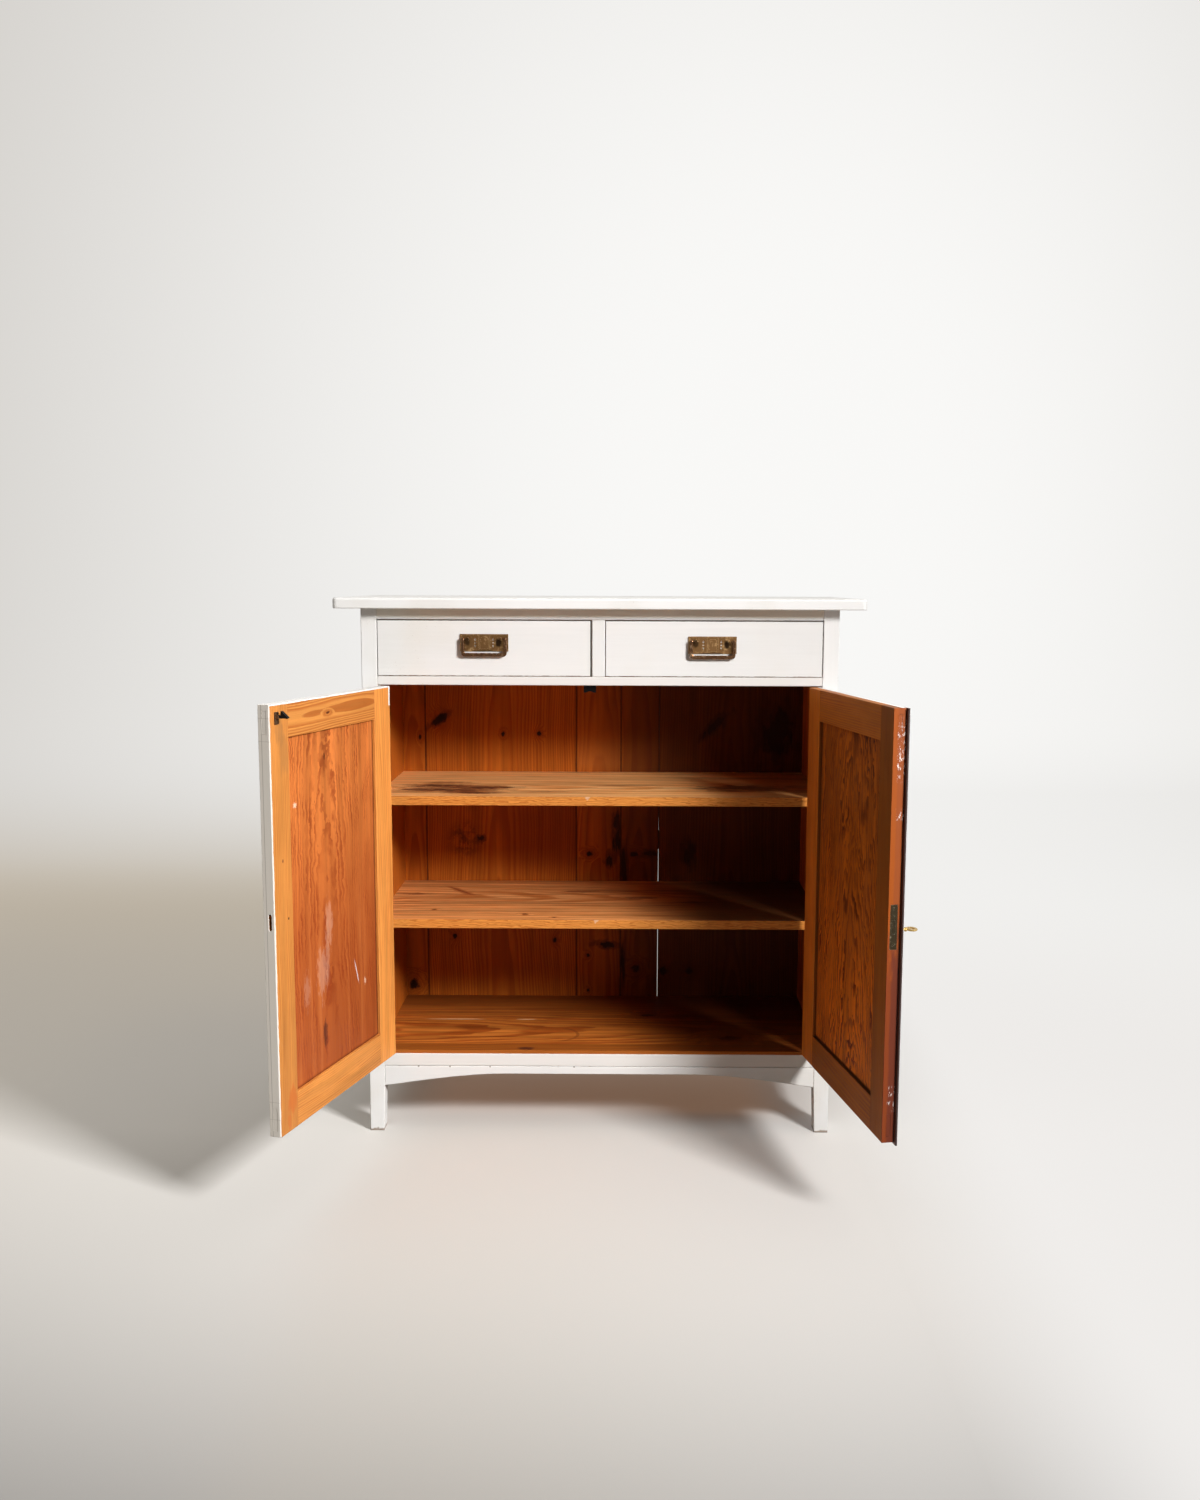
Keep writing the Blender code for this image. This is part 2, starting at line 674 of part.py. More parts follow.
def tail_outline(middle, room):
    """One dovetail seen from the side of the drawer, or its socket when given room."""
    root = DRAWER_FRONT_THICK + 2 * THROUGH
    tip = DRAWER_FRONT_LAP + FIT - room
    neck = TAIL_NECK / 2 + room
    flare = neck + TAIL_FLARE
    return [(root, middle - neck), (root, middle + neck), (tip, middle + flare), (tip, middle - flare)]


def make_drawer_box(word, start, end, pivot):
    """One drawer between the sides of its opening: a lapped, dovetailed front, sides, back and bottom."""
    left = start + DRAWER_GAP
    right = end - DRAWER_GAP
    base = DRAWER_SEAT_Z + FIT
    groove_low = base + DRAWER_BOTTOM_RISE
    groove_high = groove_low + DRAWER_BOTTOM_THICK
    side_top = base + DRAWER_SIDE_HEIGHT
    pitch = DRAWER_SIDE_HEIGHT / TAIL_COUNT
    tails = [base + (number + 0.5) * pitch for number in range(TAIL_COUNT)]
    shoulder = DRAWER_FRONT_THICK + FIT
    back_end = DRAWER_DEPTH - DRAWER_BACK_INSET
    back_start = back_end - DRAWER_BACK_THICK
    inner_left = left + DRAWER_SIDE_THICK
    inner_right = right - DRAWER_SIDE_THICK

    front = block(
        (left, 0.0, DRAWER_SEAT_Z + DRAWER_GAP),
        (right, DRAWER_FRONT_THICK, DRAWER_TOP_Z - DRAWER_GAP),
        EASE,
    )
    for edge, into in ((left, 1), (right, -1)):
        for middle in tails:
            reach = edge + into * (DRAWER_SIDE_THICK + FIT)
            cut(front, prism(tail_outline(middle, FIT), "x", edge - into * THROUGH, reach))
    front_groove = block(
        (inner_left - DRAWER_GROOVE, DRAWER_FRONT_THICK - DRAWER_GROOVE, groove_low - FIT),
        (inner_right + DRAWER_GROOVE, DRAWER_FRONT_THICK + THROUGH, groove_high + FIT),
    )
    cut(front, front_groove)
    finish(front, f"{word}_drawer_front", "white_paint", pivot)

    for side_word, outer, into in (("left", left, 1), ("right", right, -1)):
        inner = outer + into * DRAWER_SIDE_THICK
        piece = block((outer, shoulder, base), (inner, DRAWER_DEPTH, side_top), EASE / 2)
        for middle in tails:
            join(piece, prism(tail_outline(middle, 0.0), "x", outer, inner))
        groove = block(
            (inner - into * DRAWER_GROOVE, DRAWER_FRONT_THICK - DRAWER_GROOVE, groove_low - FIT),
            (inner + into * THROUGH, DRAWER_DEPTH + THROUGH, groove_high + FIT),
        )
        housing = block(
            (inner - into * DRAWER_BACK_HOUSING, back_start - FIT, groove_high - THROUGH),
            (inner + into * THROUGH, back_end + FIT, side_top + THROUGH),
        )
        cut(piece, groove, housing)
        finish(piece, f"{word}_drawer_{side_word}_side", "pine", pivot)

    reach = DRAWER_BACK_HOUSING - FIT
    back = block(
        (inner_left - reach, back_start, groove_high + FIT),
        (inner_right + reach, back_end, side_top - DRAWER_BACK_DROP),
        EASE / 2,
    )
    finish(back, f"{word}_drawer_back", "pine", pivot)
    reach = DRAWER_GROOVE - FIT
    bottom = block(
        (inner_left - reach, DRAWER_FRONT_THICK - reach, groove_low),
        (inner_right + reach, DRAWER_DEPTH, groove_high),
    )
    finish(bottom, f"{word}_drawer_bottom", "pine", pivot)


def drop_outline(x, z, direction):
    """A pierced drop with its round end towards the middle of the plate and its point away from it."""
    round_end = arc((x, z), PLATE_HOLE_RADIUS, 180.0, 360.0, 5)
    points = [*round_end, (x, z + PLATE_DROP_LENGTH)]
    return [(a, z + direction * (b - z)) for a, b in points]


def make_pull_plate(word, x, z, pivot):
    """The pierced brass plate of a pull: rim, two ridges, an arched panel and two posts for the bail."""
    seat = -FIT
    face = seat - PLATE_THICK
    relief = face - PLATE_RELIEF
    half = PLATE_WIDTH / 2
    tall = PLATE_HEIGHT / 2
    rim = PLATE_RIM_WIDTH
    plate = block((x - half, seat, z - tall), (x + half, relief, z + tall), PLATE_RELIEF / 2)
    hollow_half = half - rim
    hollow_tall = tall - rim
    hollow = block((x - hollow_half, face, z - hollow_tall), (x + hollow_half, relief - THROUGH, z + hollow_tall))
    cut(plate, hollow)
    root = face + PLATE_THICK / 2
    crest = face - PLATE_RIDGE_RELIEF
    axis_y = face - PIVOT_OUT
    axis_z = z + PIVOT_RISE
    panel_half = PLATE_PANEL_WIDTH / 2
    panel_foot = z - PLATE_PANEL_HEIGHT / 2
    panel_spring = z + PLATE_PANEL_HEIGHT / 2 - panel_half / 2
    panel = [(x - panel_half, panel_foot), (x + panel_half, panel_foot)]
    for a, b in arc((x, panel_spring), panel_half, 0.0, 180.0, 6):
        panel.append((a, panel_spring + (b - panel_spring) / 2))
    raised = [prism(panel, "y", root, crest)]
    pierced = []
    for direction in (-1, 1):
        ridge_x = x + direction * PLATE_RIDGE_X
        ridge_half = PLATE_RIDGE_WIDTH / 2
        ridge_tall = tall - rim / 2
        low = (ridge_x - ridge_half, root, z - ridge_tall)
        high = (ridge_x + ridge_half, crest, z + ridge_tall)
        raised.append(block(low, high))
        post_x = x + direction * PIVOT_SPACING / 2
        raised.append(rod((post_x, axis_z), PIVOT_POST_RADIUS, "y", root, axis_y - PIVOT_POST_RADIUS, 12))
        reach = PIVOT_POST_RADIUS + THROUGH
        pierced.append(bore((axis_y, axis_z), PIVOT_PIN_RADIUS, "x", post_x - reach, post_x + reach, 12))
        hole_x = x + direction * PLATE_HOLE_X
        pierced.append(rod((hole_x, z), PLATE_HOLE_RADIUS, "y", seat + THROUGH, relief - THROUGH, 8))
        for up in (-1, 1):
            drop = drop_outline(hole_x, z + up * PLATE_DROP_OFFSET, up)
            pierced.append(prism(drop, "y", seat + THROUGH, relief - THROUGH))
    join(plate, group(*raised))
    cut(plate, group(*pierced))
    finish(plate, f"{word}_pull_plate", "aged_brass", pivot)
    return axis_y, axis_z


def make_bail(word, x, axis_y, axis_z, pivot):
    """The swinging bail: a flat U with round lower corners, on two pins that turn in the plate's posts."""
    half = BAIL_WIDTH / 2
    foot = axis_z - BAIL_DROP
    crown = BAIL_ARM / 2
    outer = BAIL_CORNER
    inner = max(BAIL_CORNER - BAIL_ARM, BAIL_EASE * 2)
    inside = half - BAIL_ARM
    outline = []
    for way in (-1, 1):
        arm = x + way * (half - crown)
        tip = arc((arm, axis_z), crown, 0.0, 180.0, 5)
        corner = arc((x + way * (half - outer), foot + outer), outer, 0.0, -90.0, 4)
        corner = [(px if way > 0 else 2 * (x - half + outer) - px, pz) for px, pz in corner]
        hollow_z = foot + BAIL_BAR + inner
        hollow = arc((x + way * (inside - inner), hollow_z), inner, 0.0, -90.0, 3)
        hollow = [(px if way > 0 else 2 * (x - inside + inner) - px, pz) for px, pz in hollow]
        half_outline = corner[::-1] + (tip if way > 0 else tip[::-1]) + hollow
        outline += half_outline if way > 0 else half_outline[::-1]
    piece = prism(outline, "y", axis_y - BAIL_THICK / 2, axis_y + BAIL_THICK / 2, BAIL_EASE, 2)
    for way in (-1, 1):
        pin_end = PIVOT_SPACING / 2 - PIVOT_POST_RADIUS - PIVOT_PIN_END
        join(
            piece,
            rod((axis_y, axis_z), PIVOT_PIN_RADIUS, "x", x + way * pin_end, x + way * (half - crown), 12),
        )
    finish(piece, f"{word}_pull_bail", "aged_brass", pivot)


def make_drawers(carcass):
    """Both drawers with their pulls."""
    half = DIVIDER_WIDTH / 2
    openings = (
        ("left", -OPENING_HALF, DIVIDER_X - half, (0.0, 0.0)),
        ("right", DIVIDER_X + half, OPENING_HALF, RIGHT_PULL_SHIFT),
    )
    for word, start, end, shift in openings:
        middle = (start + end) / 2
        pivot = Pivot(f"{word}_drawer", (middle, 0.0, DRAWER_SEAT_Z), carcass)
        make_drawer_box(word, start, end, pivot)
        pull_x = middle + shift[0]
        pull_z = DRAWER_SEAT_Z + DRAWER_OPENING_HEIGHT / 2 + PLATE_RISE + shift[1]
        axis_y, axis_z = make_pull_plate(word, pull_x, pull_z, pivot)
        bail_pivot = Pivot(f"{word}_bail_axis", (pull_x, axis_y, axis_z), pivot)
        make_bail(word, pull_x, axis_y, axis_z, bail_pivot)


def door_tenon(side, low, high, room):
    """The through tenon of a door rail as one bar across the door, or its mortises when given room."""
    middle = (PANEL_FRONT_Y + PANEL_BACK_Y) / 2
    return block(
        (
            side * (DOOR_FREE_X + FIT - room * 4),
            middle - DOOR_TENON_THICK / 2 - room,
            low + DOOR_TENON_HAUNCH - room,
        ),
        (
            side * (DOOR_HINGE_X - FIT + room * 4),
            middle + DOOR_TENON_THICK / 2 + room,
            high - DOOR_TENON_HAUNCH + room,
        ),
    )


def meeting_stile_outline(side):
    """Section of the stile where the doors meet, with a painted chamfer inside on the left door."""
    edge = DOOR_FREE_X
    inner = edge + MEETING_STILE_WIDTH
    arris = [(edge, DOOR_THICK)]
    if side < 0:
        arris = [(edge + MEETING_CHAMFER, DOOR_THICK), (edge, DOOR_THICK - MEETING_CHAMFER)]
    outline = [(inner, 0.0), (inner, DOOR_THICK), *arris, (edge, 0.0)]
    return [(side * x, y) for x, y in outline]


def make_door_frame(word, side, pivot):
    """One framed door: two stiles, two rails with through tenons, and a flat panel in grooves."""
    low_rail_top = DOOR_FOOT_Z + DOOR_BOTTOM_RAIL_HEIGHT
    top_rail_foot = DOOR_TOP_Z - DOOR_TOP_RAIL_HEIGHT
    rails = {
        "bottom": (DOOR_FOOT_Z, low_rail_top),
        "top": (top_rail_foot, DOOR_TOP_Z),
    }
    meeting_face = DOOR_FREE_X + MEETING_STILE_WIDTH
    hinge_face = DOOR_HINGE_X - HINGE_STILE_WIDTH
    panel_x = (meeting_face - PANEL_GROOVE, hinge_face + PANEL_GROOVE)
    panel_z = (low_rail_top - PANEL_GROOVE, top_rail_foot + PANEL_GROOVE)

    def groove():
        return block(
            (side * panel_x[0], PANEL_FRONT_Y - FIT, panel_z[0]),
            (side * panel_x[1], PANEL_BACK_Y + FIT, panel_z[1]),
        )

    hinge_stile = block(
        (side * hinge_face, 0.0, DOOR_FOOT_Z), (side * DOOR_HINGE_X, DOOR_THICK, DOOR_TOP_Z), EASE
    )
    meeting_stile = prism(meeting_stile_outline(side), "z", DOOR_FOOT_Z, DOOR_TOP_Z, EASE / 2)
    for stile in (hinge_stile, meeting_stile):
        cut(stile, groove())
        for low, high in rails.values():
            cut(stile, door_tenon(side, low, high, FIT))
    for level in hinge_levels().values():
        recess = block(
            (side * (DOOR_HINGE_X - LEAF_THICK - FIT), -THROUGH, level - HINGE_HEIGHT / 2 - FIT),
            (side * (DOOR_HINGE_X + THROUGH), LEAF_WIDTH + FIT, level + HINGE_HEIGHT / 2 + FIT),
        )
        cut(hinge_stile, recess)
    if side > 0:
        cut_for_lock(meeting_stile)
    else:
        cut(meeting_stile, bolt_slot())
    finish(hinge_stile, f"{word}_door_hinge_stile", "pine", pivot)
    finish(meeting_stile, f"{word}_door_meeting_stile", "pine", pivot)

    for rail_word, (low, high) in rails.items():
        rail = block(
            (side * (meeting_face + FIT), 0.0, low), (side * (hinge_face - FIT), DOOR_THICK, high), EASE / 2
        )
        cut(rail, groove())
        join(rail, door_tenon(side, low, high, 0.0))
        finish(rail, f"{word}_door_{rail_word}_rail", "pine", pivot)
    panel = block(
        (side * (panel_x[0] + PANEL_ROOM), PANEL_FRONT_Y, panel_z[0] + PANEL_ROOM),
        (side * (panel_x[1] - PANEL_ROOM), PANEL_BACK_Y, panel_z[1] - PANEL_ROOM),
    )
    finish(panel, f"{word}_door_panel", "red_pine", pivot)


def bolt_slot():
    """The slot in the left door's edge that the bolt shoots into, with round ends."""
    straight = BOLT_SLOT_HEIGHT / 2 - BOLT_SLOT_WIDTH / 2
    outline = arc((LOCK_Y, LOCK_Z + straight), BOLT_SLOT_WIDTH / 2, 0.0, 180.0, 6)
    outline += arc((LOCK_Y, LOCK_Z - straight), BOLT_SLOT_WIDTH / 2, 180.0, 360.0, 6)
    return prism(outline, "x", -DOOR_FREE_X + THROUGH, -DOOR_FREE_X - BOLT_SLOT_DEPTH)


def cut_for_lock(stile):
    """Opens the right door's meeting stile for the lock case, its forend and the key."""
    pocket = block(
        (DOOR_FREE_X - THROUGH, LOCK_Y - LOCK_CASE_THICK / 2 - FIT, LOCK_Z - LOCK_CASE_HEIGHT / 2 - FIT),
        (
            DOOR_FREE_X + LOCK_CASE_DEPTH + FIT,
            LOCK_Y + LOCK_CASE_THICK / 2 + FIT,
            LOCK_Z + LOCK_CASE_HEIGHT / 2 + FIT,
        ),
    )
    forend = block(
        (DOOR_FREE_X - THROUGH, LOCK_Y - FOREND_WIDTH / 2 - FIT, LOCK_Z - FOREND_HEIGHT / 2 - FIT),
        (
            DOOR_FREE_X + FOREND_THICK + FIT,
            LOCK_Y + FOREND_WIDTH / 2 + FIT,
            LOCK_Z + FOREND_HEIGHT / 2 + FIT,
        ),
    )
    hole_radius = KEY_SHANK_RADIUS + 2 * FIT
    keyhole = rod((KEY_X, KEY_Z), hole_radius, "y", -THROUGH, LOCK_Y)
    slot_half = KEY_BIT_THICK / 2 + 2 * FIT
    slot = block(
        (KEY_X - slot_half, -THROUGH, KEY_Z - KEY_BIT_RADIUS - 2 * FIT), (KEY_X + slot_half, LOCK_Y, KEY_Z)
    )
    cut(stile, pocket, forend, keyhole, slot)


def make_lock(door):
    """The mortise lock in the right door: case with forend, sliding bolt, and the key that shoots it."""
    half = LOCK_CASE_HEIGHT / 2
    case = block(
        (DOOR_FREE_X + FIT, LOCK_Y - FOREND_WIDTH / 2, LOCK_Z - FOREND_HEIGHT / 2),
        (DOOR_FREE_X + FOREND_THICK, LOCK_Y + FOREND_WIDTH / 2, LOCK_Z + FOREND_HEIGHT / 2),
    )
    body = block(
        (DOOR_FREE_X + FOREND_THICK / 2, LOCK_Y - LOCK_CASE_THICK / 2, LOCK_Z - half),
        (DOOR_FREE_X + LOCK_CASE_DEPTH, LOCK_Y + LOCK_CASE_THICK / 2, LOCK_Z + half),
    )
    join(case, body)
    bolt_nose = DOOR_FREE_X + 2 * FIT
    bolt_tail = bolt_nose + BOLT_LENGTH
    way = block(
        (DOOR_FREE_X - THROUGH, LOCK_Y - BOLT_THICK / 2 - FIT, LOCK_Z - BOLT_HEIGHT / 2 - FIT),
        (bolt_tail + FIT, LOCK_Y + BOLT_THICK / 2 + FIT, LOCK_Z + BOLT_HEIGHT / 2 + FIT),
    )
    chamber_end = KEY_INNER_LENGTH + 2 * FIT
    chamber = rod((KEY_X, KEY_Z), KEY_CHAMBER_RADIUS, "y", LOCK_Y - LOCK_CASE_THICK, chamber_end, 20)
    cut(case, way, chamber)
    finish(case, "lock_case", "steel", door)

    bolt_pivot = Pivot("bolt_slide", (bolt_nose, LOCK_Y, LOCK_Z), door)
    bolt = block(
        (bolt_nose, LOCK_Y - BOLT_THICK / 2, LOCK_Z - BOLT_HEIGHT / 2),
        (bolt_tail, LOCK_Y + BOLT_THICK / 2, LOCK_Z + BOLT_HEIGHT / 2),
        FIT * 2,
    )
    finish(bolt, "lock_bolt", "steel", bolt_pivot)
    make_key(door)


def make_key(door):
    """The key: an oval bow with a hole, a collar, a round shank and a bit, bow and bit lying level."""
    bow_end = -KEY_PROUD
    bow_middle = bow_end + KEY_BOW_LENGTH / 2
    low = KEY_Z - KEY_BOW_THICK / 2
    high = KEY_Z + KEY_BOW_THICK / 2

    def oval(inset):
        return [
            (KEY_X + (KEY_BOW_WIDTH / 2 - inset) * a, bow_middle + (KEY_BOW_LENGTH / 2 - inset) * b)
            for a, b in circle((0.0, 0.0), 1.0, 20)
        ]

    key = prism(oval(0.0), "z", low, high, KEY_BOW_THICK / 4)
    cut(key, prism(oval(KEY_BOW_RIM), "z", low - THROUGH, high + THROUGH))
    neck = bow_end + KEY_BOW_LENGTH
    shank = rod((KEY_X, KEY_Z), KEY_SHANK_RADIUS, "y", neck - KEY_BOW_RIM / 2, KEY_INNER_LENGTH, 12)
    collar = rod((KEY_X, KEY_Z), KEY_COLLAR_RADIUS, "y", neck, neck + KEY_COLLAR_LENGTH, 12)
    bit = block(
        (KEY_X, KEY_INNER_LENGTH - FIT - KEY_BIT_LENGTH, KEY_Z - KEY_BIT_THICK / 2),
        (KEY_X + KEY_BIT_RADIUS, KEY_INNER_LENGTH - FIT, KEY_Z + KEY_BIT_THICK / 2),
    )
    join(key, shank, collar, bit)
    finish(key, "key", "aged_brass", Pivot("key_axis", (KEY_X, 0.0, KEY_Z), door))


def make_astragal(door):
    """The thin strip on the face of the right door that laps over the left one, rounded at the front."""
    low = DOOR_FOOT_Z - ASTRAGAL_TAIL
    right = DOOR_FREE_X + ASTRAGAL_SEAT
    left = DOOR_FREE_X - ASTRAGAL_LAP
    radius = ASTRAGAL_ROUND
    face = -FIT - ASTRAGAL_THICK
    outline = [(right, -FIT), (left, -FIT)]
    outline += arc((left + radius, face + radius), radius, 180.0, 270.0, 4)
    outline += arc((right - radius, face + radius), radius, 270.0, 360.0, 4)
    finish(prism(outline, "z", low, DOOR_TOP_Z), "astragal", "white_paint", door)


def make_hinges(side_word, side, carcass, door):
    """Two butt hinges: the post's leaf has the pin and outer knuckles, the door's leaf the middle one."""
    pin_x = side * HINGE_PIN_X
    pin_y = -HINGE_PIN_PROUD
    third = HINGE_HEIGHT / 3
    clear_y = pin_y + BARREL_RADIUS + FIT
    for level_word, level in hinge_levels().items():
        low = level - HINGE_HEIGHT / 2
        high = level + HINGE_HEIGHT / 2
        mid_low = low + third
        mid_high = high - third

        post_face = side * OPENING_HALF
        post_back = side * (OPENING_HALF + LEAF_THICK)
        leaf = block((post_face, clear_y, low), (post_back, LEAF_WIDTH, high))
        for start, end in ((low, mid_low - KNUCKLE_GAP), (mid_high + KNUCKLE_GAP, high)):
            tab = block((post_face, pin_y, start), (post_back, clear_y + THROUGH, end))
            join(leaf, tab, rod((pin_x, pin_y), BARREL_RADIUS, "z", start, end))
        join(leaf, rod((pin_x, pin_y), HINGE_PIN_RADIUS, "z", low + THROUGH, high - THROUGH))
        finish(leaf, f"{side_word}_{level_word}_post_leaf", "steel", carcass)

        door_face = side * DOOR_HINGE_X
        door_back = side * (DOOR_HINGE_X - LEAF_THICK)
        leaf = block((door_face, clear_y, low), (door_back, LEAF_WIDTH, high))
        tab = block((door_face, pin_y, mid_low), (door_back, clear_y + THROUGH, mid_high))
        join(leaf, tab, rod((pin_x, pin_y), BARREL_RADIUS, "z", mid_low, mid_high))
        cut(leaf, bore((pin_x, pin_y), HINGE_PIN_RADIUS, "z", mid_low - THROUGH, mid_high + THROUGH))
        finish(leaf, f"{side_word}_{level_word}_door_leaf", "steel", door)


def make_catch(door):
    """The elbow catch on the left door: a base with two ears and a pin, and the hook that turns on it."""
    face = DOOR_THICK + FIT
    plate_face = face + CATCH_PLATE_THICK
    axis_y = DOOR_THICK + CATCH_PIVOT_OUT
    half = CATCH_PLATE_WIDTH / 2
    base = block(
        (CATCH_X - half, face, CATCH_Z - CATCH_PLATE_BELOW),
        (CATCH_X + half, plate_face, CATCH_Z + CATCH_PLATE_ABOVE),
    )
    ear_inner = HOOK_WIDTH / 2 + FIT
    ear_outer = ear_inner + CATCH_EAR_THICK
    root = face + CATCH_PLATE_THICK / 2
    ear_outline = [(root, CATCH_Z - CATCH_EAR_RADIUS)]
    ear_outline += arc((axis_y, CATCH_Z), CATCH_EAR_RADIUS, -90.0, 90.0, 6)
    ear_outline += [(root, CATCH_Z + CATCH_EAR_RADIUS)]
    for way in (-1, 1):
        join(base, prism(ear_outline, "x", CATCH_X + way * ear_inner, CATCH_X + way * ear_outer))
    middle_of_ear = ear_inner + CATCH_EAR_THICK / 2
    join(
        base,
        rod((axis_y, CATCH_Z), CATCH_PIN_RADIUS, "x", CATCH_X - middle_of_ear, CATCH_X + middle_of_ear, 12),
    )
    finish(base, "catch_base", "black_iron", door)

    tail = HOOK_BAR / 2
    face_y = DOOR_THICK + HOOK_FACE
    reach_y = DOOR_THICK + HOOK_REACH
    outline = arc((axis_y, CATCH_Z), tail, 90.0, 270.0, 6)
    outline += [
        (reach_y - HOOK_TIP, CATCH_Z - tail),
        (reach_y, CATCH_Z - tail + HOOK_TIP),
        (face_y + HOOK_TIP, CATCH_Z + HOOK_PEAK),
        (face_y, CATCH_Z + HOOK_PEAK),
        (face_y, CATCH_Z + tail),
    ]
    hook = prism(outline, "x", CATCH_X - HOOK_WIDTH / 2, CATCH_X + HOOK_WIDTH / 2)
    reach = HOOK_WIDTH / 2 + THROUGH
    cut(hook, bore((axis_y, CATCH_Z), CATCH_PIN_RADIUS, "x", CATCH_X - reach, CATCH_X + reach, 12))
    finish(hook, "catch_hook", "black_iron", Pivot("catch_axis", (CATCH_X, axis_y, CATCH_Z), door))


def make_doors(carcass):
    """Both doors on their hinges, turned to stand open."""
    for word, side, angle in (("left", -1, -LEFT_OPEN), ("right", 1, RIGHT_OPEN)):
        axis = (side * HINGE_PIN_X, -HINGE_PIN_PROUD, 0.0)
        door = Pivot(f"{word}_door_axis", axis, carcass, angle)
        make_door_frame(word, side, door)
        make_hinges(word, side, carcass, door)
        if side > 0:
            make_astragal(door)
            make_lock(door)
        else:
            make_catch(door)


def main():
    for old in list(bpy.data.objects):
        bpy.data.objects.remove(old)
    carcass = Pivot("cupboard")
    make_top(carcass)
    make_sides(carcass)
    make_posts(carcass)
    make_rails(carcass)
    make_apron(carcass)
    make_shelves(carcass)
    make_back(carcass)
    make_runners(carcass)
    make_strike(carcass)
    make_drawers(carcass)
    make_doors(carcass)
    carcass.empty.location.y = FRONT_PLANE_Y


main()
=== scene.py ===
"""The looks of a white painted pine cupboard: finishes, small fixings, studio, lights and camera.

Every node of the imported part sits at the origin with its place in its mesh, so a material's object
coordinates are the part's own coordinates at rest, in metres, and they stay with the piece when it moves.
"""
import math

import bpy
from mathutils import Matrix, Vector


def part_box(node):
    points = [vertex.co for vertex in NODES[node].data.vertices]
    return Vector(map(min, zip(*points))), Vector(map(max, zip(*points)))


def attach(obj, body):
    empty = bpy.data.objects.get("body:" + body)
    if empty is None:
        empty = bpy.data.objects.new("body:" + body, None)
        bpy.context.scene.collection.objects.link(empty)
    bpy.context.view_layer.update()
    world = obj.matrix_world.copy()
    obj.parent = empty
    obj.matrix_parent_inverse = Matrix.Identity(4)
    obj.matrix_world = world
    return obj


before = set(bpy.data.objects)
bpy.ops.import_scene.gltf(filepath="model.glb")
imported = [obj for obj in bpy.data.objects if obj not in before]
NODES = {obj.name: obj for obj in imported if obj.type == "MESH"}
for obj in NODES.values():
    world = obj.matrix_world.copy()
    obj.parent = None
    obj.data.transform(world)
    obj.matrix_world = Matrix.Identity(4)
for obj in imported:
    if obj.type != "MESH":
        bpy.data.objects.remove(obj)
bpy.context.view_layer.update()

# The photograph's camera, with its angles in degrees.
PHOTO_WIDTH = 1200
PHOTO_HEIGHT = 1500
FOCAL_PIXELS = 1335.25
PRINCIPAL_X = 617.74
PRINCIPAL_Y = 749.27
SENSOR = 36.0
EYE = Vector((0.0461, -2.6382, 1.1320))
PITCH_DOWN = 7.141
ROLL = 0.2136
YAW_RIGHT = -0.2165

# The lamp that casts the shadows.
KEY_PLACE = Vector((1.70, -2.04, 1.95))
KEY_AIM = Vector((-1.4, -0.6, -0.4))
KEY_SIZE = 0.60
KEY_SPREAD = math.radians(88.0)
KEY_WATTS = 49.0
KEY_COLOUR = (1.0, 0.990, 0.978)

# The room's light by direction, and how bright the room is in reflections and to the camera.
ROOM_COLOUR = (1.0, 0.955, 0.885)
ROOM_FRONT = 0.03
ROOM_BACK = 0.42
ROOM_ABOVE = 0.75
ROOM_LEFT = 0.75
ROOM_SHINE = 0.18
ROOM_SHINE_ABOVE = 0.90
ROOM_SEEN = 0.85
ROOM_SEEN_COLOUR = (0.99, 0.985, 0.97)

# The stage: a floor that sweeps up into a wall.
FLOOR_STOPS = (-30.0, -2.0, 0.0, 1.5, 2.6)
STAGE_HALF = 30.0
COVE_RADIUS = 1.8
COVE_STEPS = 24
WALL_TOP = 9.0
STAGE_GLOW = 0.92

# How far each door stands open at rest, and where it turns.
DOOR_TURN = {"left": math.radians(106.9), "right": math.radians(-100.6)}
DOOR_PIN = {"left": (-0.442, 0.009, 0.0), "right": (0.442, 0.009, 0.0)}

# Places on the carcass and on the shut doors that the finishes follow.
FRONT_Y = 0.0136
DOOR_INSIDE_Y = 0.0361
DOOR_EDGE_X = 0.4412
DOOR_TOP_Z = 0.9261
PANEL_SIDE_X = 0.3762
PANEL_FOOT_Z = 0.233
FRAME_PAINT_Y = 0.0206
PANEL_PAINT_Y = 0.0218
EDGE_JOINTS_Z = (0.9030, 0.8640, 0.2330, 0.2020)
SHELF_FRONT_Y = 0.0434
SHELF_JOINT_Y = 0.201
SIDE_INSIDE_X = 0.458
BACK_OUTSIDE_Y = 0.4196
TOP_FACE_Z = (1.0955, 1.0985)
TOP_SHADE_Z = (1.0610, 1.0640)
FOOT_DIRT_Z = (0.0030, 0.0065)
APRON_SPOTS_X = (-0.3725, -0.3077, -0.2251, -0.0517)
APRON_SPOTS_Z = 0.1385

# Paint: its colours, its strokes in waves per metre across and along, and its border on bare wood.
WHITE = (0.862, 0.856, 0.846)
# A lighter white for the posts and the top board, as painted light.
PAINTED_LIGHT_WHITE = (0.920, 0.914, 0.906)
DULL_WHITE = (0.835, 0.810, 0.785)
YELLOWED = (0.838, 0.815, 0.775)
CHIPPED = (0.34, 0.19, 0.095)
BRUSH = (260.0, 10.0)
BORDER = 0.0006

# The relief that a height of 1 stands for.
PAINT_RELIEF = 0.0003
TOP_RELIEF = 0.00006
WOOD_RELIEF = 0.00012
METAL_RELIEF = 0.00025

# Tongues in the joints of the back, and in its crack a strip, with a splinter across what stays open.
TONGUE_Y = (0.4110, 0.4150)
TONGUE_SHORT = 0.002
STRIP_X = (-0.0036, -0.0013)
STRIP_TOP_Z = 0.600
SPLINTER_Z = (0.517, 0.561)
SPLINTER_THIN = 0.0002

